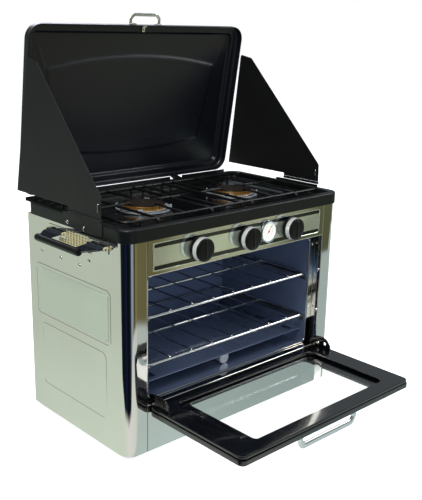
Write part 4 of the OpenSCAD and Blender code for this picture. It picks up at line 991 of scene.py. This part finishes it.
guide = {"long": 241, "midY": 143.5, "section": [(203, -10, 0), (201.6, -10, 0), (201.6, -1.4, 1),
                                                 (194, -1.4, 0.5), (194, 0, 0.5), (203, 0, 0)]}
shapes = []
for word, flip in bothSides:
    for z in oven["rackZ"]:
        section = roundedBy([(x, z + up, r) for x, up, r in guide["section"]], 3)
        shapes.append(platePiece([section], guide["long"], 0.1, acrossY(flip, guide["midY"])))
makePiece("rackGuides", shapes, "cabinet", "zinc", ["rack_guides"], 40)

# each bar rises over the rack's front wire and lies on its rear one
rack = {"z": {"upper": 231, "lower": 145}, "half": 199, "y": (24.5, 260), "crossY": 142, "corner": 9,
        "wire": 2.5, "bars": 7, "bar": 1.6}
halfX, (y0, y1) = rack["half"], rack["y"]
for word, z in rack["z"].items():
    loop = [(x, y, z) for x, y in rect2d(-halfX, y0, halfX, y1, rack["corner"], 6)]
    cross = [(-halfX, rack["crossY"], z), (halfX, rack["crossY"], z)]
    shapes = [tube(loop, rack["wire"], 12, True), tube(cross, rack["wire"])]
    for i in range(1, rack["bars"] + 1):
        x = -halfX + i * 2 * halfX / (rack["bars"] + 1)
        bar = [(x, y0 - 1.5, z + 0.4, 0), (x, y0 - 1.2, z + 4.6, 1.4), (x, y0 + 5, z + 3.6, 2),
               (x, y1 + 1, z + 3.6, 0)]
        shapes.append(tube(roundedBy(bar, 4, False), rack["bar"], 10, up=(1, 0, 0)))
    makePiece(word + "Rack", shapes, "rack_" + word, "chrome", [word + "_rack"], 60)
print("stage: oven")

# Door, open: rectangles are X and Y as it lies, from its lower edge at the cabinet to its top edge

door = {"outer": (-216.5, -225, 216.5, -2.4), "outerZ": (70.2, 79.4), "window": (-151, -190, 151, -27),
        "inner": (-215.5, -224, 215.5, -2.4), "innerZ": (80.4, 86), "recess": (-173, -196, 173, -22),
        "pane": (-154.8, -192.8, 154.8, -24.2), "paneProfile": [(1, 75.5), (0, 76.2), (0, 78.8), (1, 79.5)]}


def frameShape(outer, outerR, inner, innerR, heights, edge):
    # a flat ring between two rounded rectangles, with rounded edges
    profile = edgeProfile(*heights, edge)
    rings = []
    for (x0, y0, x1, y1), r, s, points in ((outer, outerR, 1, profile), (inner, innerR, -1, profile[::-1])):
        rings += [rectRing(x0 + s * d, y0 + s * d, x1 - s * d, y1 - s * d, r - s * d, z, 8) for d, z in points]
    return bridge(rings, False, False, True) + (same,)


shapes = [frameShape(door["outer"], 10, door["window"], 10, door["outerZ"], 1.2)]
makePiece("doorOuterFrame", shapes, "door", "blackEnamel", ["door_outer_frame"], 40)
shapes = [frameShape(door["inner"], 11, door["recess"], 12, door["innerZ"], 1.8)]
makePiece("doorInnerFrame", shapes, "door", "blackEnamel", ["door_inner_frame"], 40)
makePiece("doorGlass", [loft(door["pane"], 11.8, door["paneProfile"])], "door", "glass", ["door_glass"])

pull = {"y": -212, "half": 70, "bar": 6.2, "flat": 0.55, "path": [(70, 72, 0), (70, 55, 7), (63, 46, 8)],
        "collar": [(0, 72), (6.8, 72), (6.8, 70.6), (5.6, 69.8), (0, 69.8)]}
path = [(s * x, pull["y"], z, r) for s in (-1, 1) for x, z, r in pull["path"][::-s]]
shapes = [tube(roundedBy(path, 6, False), pull["bar"], 20, up=(0, 1, 0), flat=pull["flat"])]
for x in (-pull["half"], pull["half"]):
    shapes.append(turned(pull["collar"], (x, pull["y"], 0), "z", 24))
makePiece("doorPull", shapes, "door", "chrome", ["door_handle"], 50)

# the round ears that the door turns on: (along Y, up, corner radius)
doorEar = {"x": 208, "thick": 2, "pin": (6, 80, 2.7), "hole": (-31, 95.5, 3.2), "rivet": (207, -14, 93),
           "outline": [(-46, 86.1, 1), (-44, 96, 6), (-36, 105, 8), (-24, 108.6, 8), (-10, 107, 8), (0, 105.2, 6),
                       (6, 103, 4), (6, 86, 2), (13, 80, 5), (9, 73.6, 4), (3, 73.6, 4), (-1.6, 80, 2),
                       (-1.6, 86.1, 1)]}
outlines = [roundedBy(doorEar["outline"], 4), circle2d(*doorEar["pin"], 20), circle2d(*doorEar["hole"], 20)]
ears = [platePiece(outlines, doorEar["thick"], 0.5, onSide(flip, doorEar["x"])) for word, flip in bothSides]
rivets = [screwHead(doorEar["rivet"], "x", 3.6, -1.8, 20, flip) for word, flip in bothSides]
makePiece("doorEars", ears, "door", "blackEnamel", ["door_ears"], 40)
makePiece("earRivets", rivets, "door", "chrome")
print("stage: door")

# CAD nodes: those that stay in view take the finish of their real material, the others that of their slot
kept = {"base_pan": "zinc", "burner_tubes": "aluminium", "lid_hinge_legs": "satinBlack",
        "lid_hinge_brackets": "satinBlack", "hinge_pins": "zinc", "gas_valves": "brass",
        "left_valve_stem": "brass", "oven_valve_stem": "brass", "right_valve_stem": "brass",
        "gas_manifold": "zinc", "thermometer_probe": "zinc", "insulation": "wool", "oven_burner": "aluminium",
        "heat_spreader": "blueEnamel"}
finishOf = {"stainless": "polished", "polished_steel": "polished", "panel_print": "printedPlate",
            "black_enamel": "blackEnamel", "dark_sheet": "satinBlack", "blue_enamel": "blueEnamel",
            "yellow_zinc": "yellowZinc", "black_plastic": "blackPlastic", "dial_white": "dial",
            "red_paint": "red", "mineral_wool": "wool"}
slots = {s["node"]: s["material_slot"] for s in frame["record"]["subparts"]}
for name, node in frame["nodes"].items():
    node.data.materials.clear()
    slot = slots[name]
    node.data.materials.append(materials[kept.get(name, finishOf.get(slot, slot))])
    node.data.set_sharp_from_angle(angle=radians(35))
print("stage: kept nodes")

# Stage: a pale floor and a white background. Reflections see an image painted on the floor instead.


edgeScale = 2.0


def turnStops(stops):
    # stops given in degrees, from -180 to 180
    return [((degrees + 180) / 360, linear(color)) for degrees, color in stops]


def distanceStops(stops):
    # (degrees, metres) pairs as grey values, edgeScale metres being white
    return [((degrees + 180) / 360, (d / edgeScale, d / edgeScale, d / edgeScale, 1)) for degrees, d in stops]


# What the polished sheet mirrors: white paper near the oven, then a dark blue room in front of its
# left corner and tan boards to the front right. Angles run from the left (0) over the front (90).
mirrored = {
    "centre": (-0.26, 0.0),
    "edge": distanceStops([(-180, 1.9), (-60, 1.9), (-24, 1.4), (-15, 0.3), (8, 0.13), (48, 0.09), (70, 0.13),
                           (84, 0.5), (100, 0.56), (118, 0.6), (133, 0.62), (149, 1.2), (165, 1.9), (180, 1.9)]),
    "near": turnStops([(-180, "#ebf9ea"), (-60, "#ebf9ea"), (0, "#f0fbee"), (48, "#ffffff"), (118, "#f4fbf4"),
                       (136, "#cfe0df"), (180, "#d0e4e6")]),
    "far": turnStops([(-180, "#a9b3a6"), (-60, "#97a298"), (-36, "#a3aea3"), (-21, "#8d9a95"),
                      (-15, "#1b2226"), (8, "#0d1420"), (30, "#18223c"), (40, "#0d111c"), (62, "#14180f"),
                      (70, "#3f5678"), (75, "#93a9cc"), (83, "#aab7c0"), (94, "#76704b"), (104, "#3a3822"),
                      (113, "#9a9570"), (121, "#857f5c"), (132, "#6f6b48"), (136, "#b0b496"),
                      (145, "#b4b89c"), (149, "#62654a"), (160, "#5d6048"), (180, "#8b9486")]),
    "wave": (2.2, 0.02), "edgeSoft": 0.07, "fadeFrom": (0.05, 0.7), "fadeTo": (1.0, 0.78),
}
floorLook = {"half": 9, "grain": 3.0, "tone": (0.86, 0.9), "glow": 0.7, "throughGlass": 1.4}
white = (1, 1, 1, 1)

floorMesh = bpy.data.meshes.new("floor")
h = floorLook["half"]
floorMesh.from_pydata([(-h, -h, 0), (h, -h, 0), (h, h, 0), (-h, h, 0)], [], [(0, 1, 2, 3)])
floor = addObject("floor", floorMesh)
material, tree, output = newMaterial("paleFloor")
coords = addNode(tree, "TexCoord").outputs["Object"]
grain = addNode(tree, "TexNoise", {"Vector": coords, "Scale": floorLook["grain"]})
tone = mapRange(tree, grain.outputs["Fac"], (0.0, 1.0), floorLook["tone"])
diffuse = addNode(tree, "BsdfDiffuse", {"Color": tone}).outputs[0]
glow = emission(tree, white, floorLook["glow"])
paper = addNode(tree, "AddShader", {0: diffuse, 1: glow}).outputs[0]

# the mirrored image: its colour depends on the angle and distance from the cabinet's front left
place = axes(tree, "Object")
px = maths(tree, "SUBTRACT", mirrored["centre"][0], place[0])
py = maths(tree, "SUBTRACT", frontY + mirrored["centre"][1], place[1])
distance = maths(tree, "SQRT", maths(tree, "MULTIPLY_ADD", px, px, maths(tree, "MULTIPLY", py, py)))
angle = maths(tree, "MULTIPLY_ADD", maths(tree, "ARCTAN2", py, px), 1 / tau, 0.5)
waveScale, waveTurn = mirrored["wave"]
wave = addNode(tree, "TexNoise", {"Vector": coords, "Scale": waveScale, "Detail": 2.0}).outputs["Fac"]
wavyAngle = maths(tree, "MULTIPLY_ADD", maths(tree, "SUBTRACT", wave, 0.5), waveTurn, angle)
edgeAt = maths(tree, "MULTIPLY", colorRamp(tree, angle, mirrored["edge"]), edgeScale)
beyond = mapRange(tree, maths(tree, "SUBTRACT", distance, edgeAt), (0.0, mirrored["edgeSoft"]),
                  interpolation_type="SMOOTHSTEP")
fade = mapRange(tree, distance, mirrored["fadeFrom"], mirrored["fadeTo"])
near = addNode(tree, "VectorMath", {0: colorRamp(tree, angle, mirrored["near"]), 1: fade},
               operation="MULTIPLY").outputs[0]
image = emission(tree, mixColors(tree, beyond, near, colorRamp(tree, wavyAngle, mirrored["far"])))
path = addNode(tree, "LightPath").outputs
direct = mixShaders(tree, path["Is Camera Ray"], diffuse, paper)
plain = mixShaders(tree, path["Is Transmission Ray"], direct, emission(tree, white, floorLook["throughGlass"]))
# rays that pass through the glass count as glossy too, and they see the plain floor
reflected = maths(tree, "SUBTRACT", path["Is Glossy Ray"], path["Is Transmission Ray"])
tree.links.new(mixShaders(tree, reflected, plain, image), output.inputs[0])
floorMesh.materials.append(material)
floor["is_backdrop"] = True

world = bpy.data.worlds.new("studio")
bpy.context.scene.world = world
world.use_nodes = True
tree = world.node_tree
tree.nodes.clear()
output = addNode(tree, "OutputWorld")
rise = mapRange(tree, axes(tree, "Generated")[2], (-0.2, 0.9))
sky = colorRamp(tree, rise, [(0.0, linear("#8f958f")), (0.35, linear("#5a6268")), (1.0, linear("#c9cfd4"))])
room, backdrop = (addNode(tree, "Background", {"Color": color, "Strength": 1.0}).outputs[0]
                  for color in (sky, white))
path = addNode(tree, "LightPath").outputs
seen = maths(tree, "MAXIMUM", path["Is Camera Ray"], path["Is Transmission Ray"])
tree.links.new(mixShaders(tree, seen, room, backdrop), output.inputs[0])

# area lights: place in metres, size, watts and colour; the front one is not seen in reflections
lights = {"key": ((-1.6, -0.9, 2.2), 1.2, 45, "#fffaf2"), "back": ((0.5, 1.6, 1.9), 1.4, 30, "#eef3ff"),
          "right": ((1.9, -1.2, 1.5), 0.9, 18, "#ffffff"), "front": ((-0.7, -2.4, 0.75), 0.8, 30, "#e6efff")}
aim = Vector((0, 0, 0.35))
for name, (place, size, power, color) in lights.items():
    data = bpy.data.lights.new(name, "AREA")
    data.shape = "DISK"
    data.size = size
    data.energy = power
    data.color = linear(color)[:3]
    lamp = addObject(name, data)
    lamp.location = place
    lamp.rotation_euler = (aim - Vector(place)).to_track_quat("-Z", "Y").to_euler()
    lamp.visible_camera = False
    lamp.visible_glossy = name != "front"
print("stage: lights")

# Camera fitted to the cabinet's edges in the photograph: angles in radians, place and lens in millimetres
view = {"azimuth": -0.7516, "elevation": 0.2740, "roll": 0.0218, "at": (-975.852, -959.043, 702.860),
        "lens": 57.48, "sensor": 36}
a, e, roll = view["azimuth"], view["elevation"], view["roll"]
backward = Vector((sin(a) * cos(e), -cos(a) * cos(e), sin(e)))
right = (-backward).cross(Vector((0, 0, 1))).normalized()
up = right.cross(-backward)
rightRolled = right * cos(roll) + up * sin(roll)
upRolled = up * cos(roll) - right * sin(roll)
camera = addObject("camera", bpy.data.cameras.new("camera"))
camera.data.lens = view["lens"]
camera.data.sensor_width = view["sensor"]
turn = Matrix((rightRolled, upRolled, backward)).transposed().to_4x4()
camera.matrix_world = Matrix.Translation(row(view["at"])) @ turn
bpy.context.scene.camera = camera
bpy.context.scene.view_settings.view_transform = "Standard"

low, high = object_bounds()
print("stage: done")
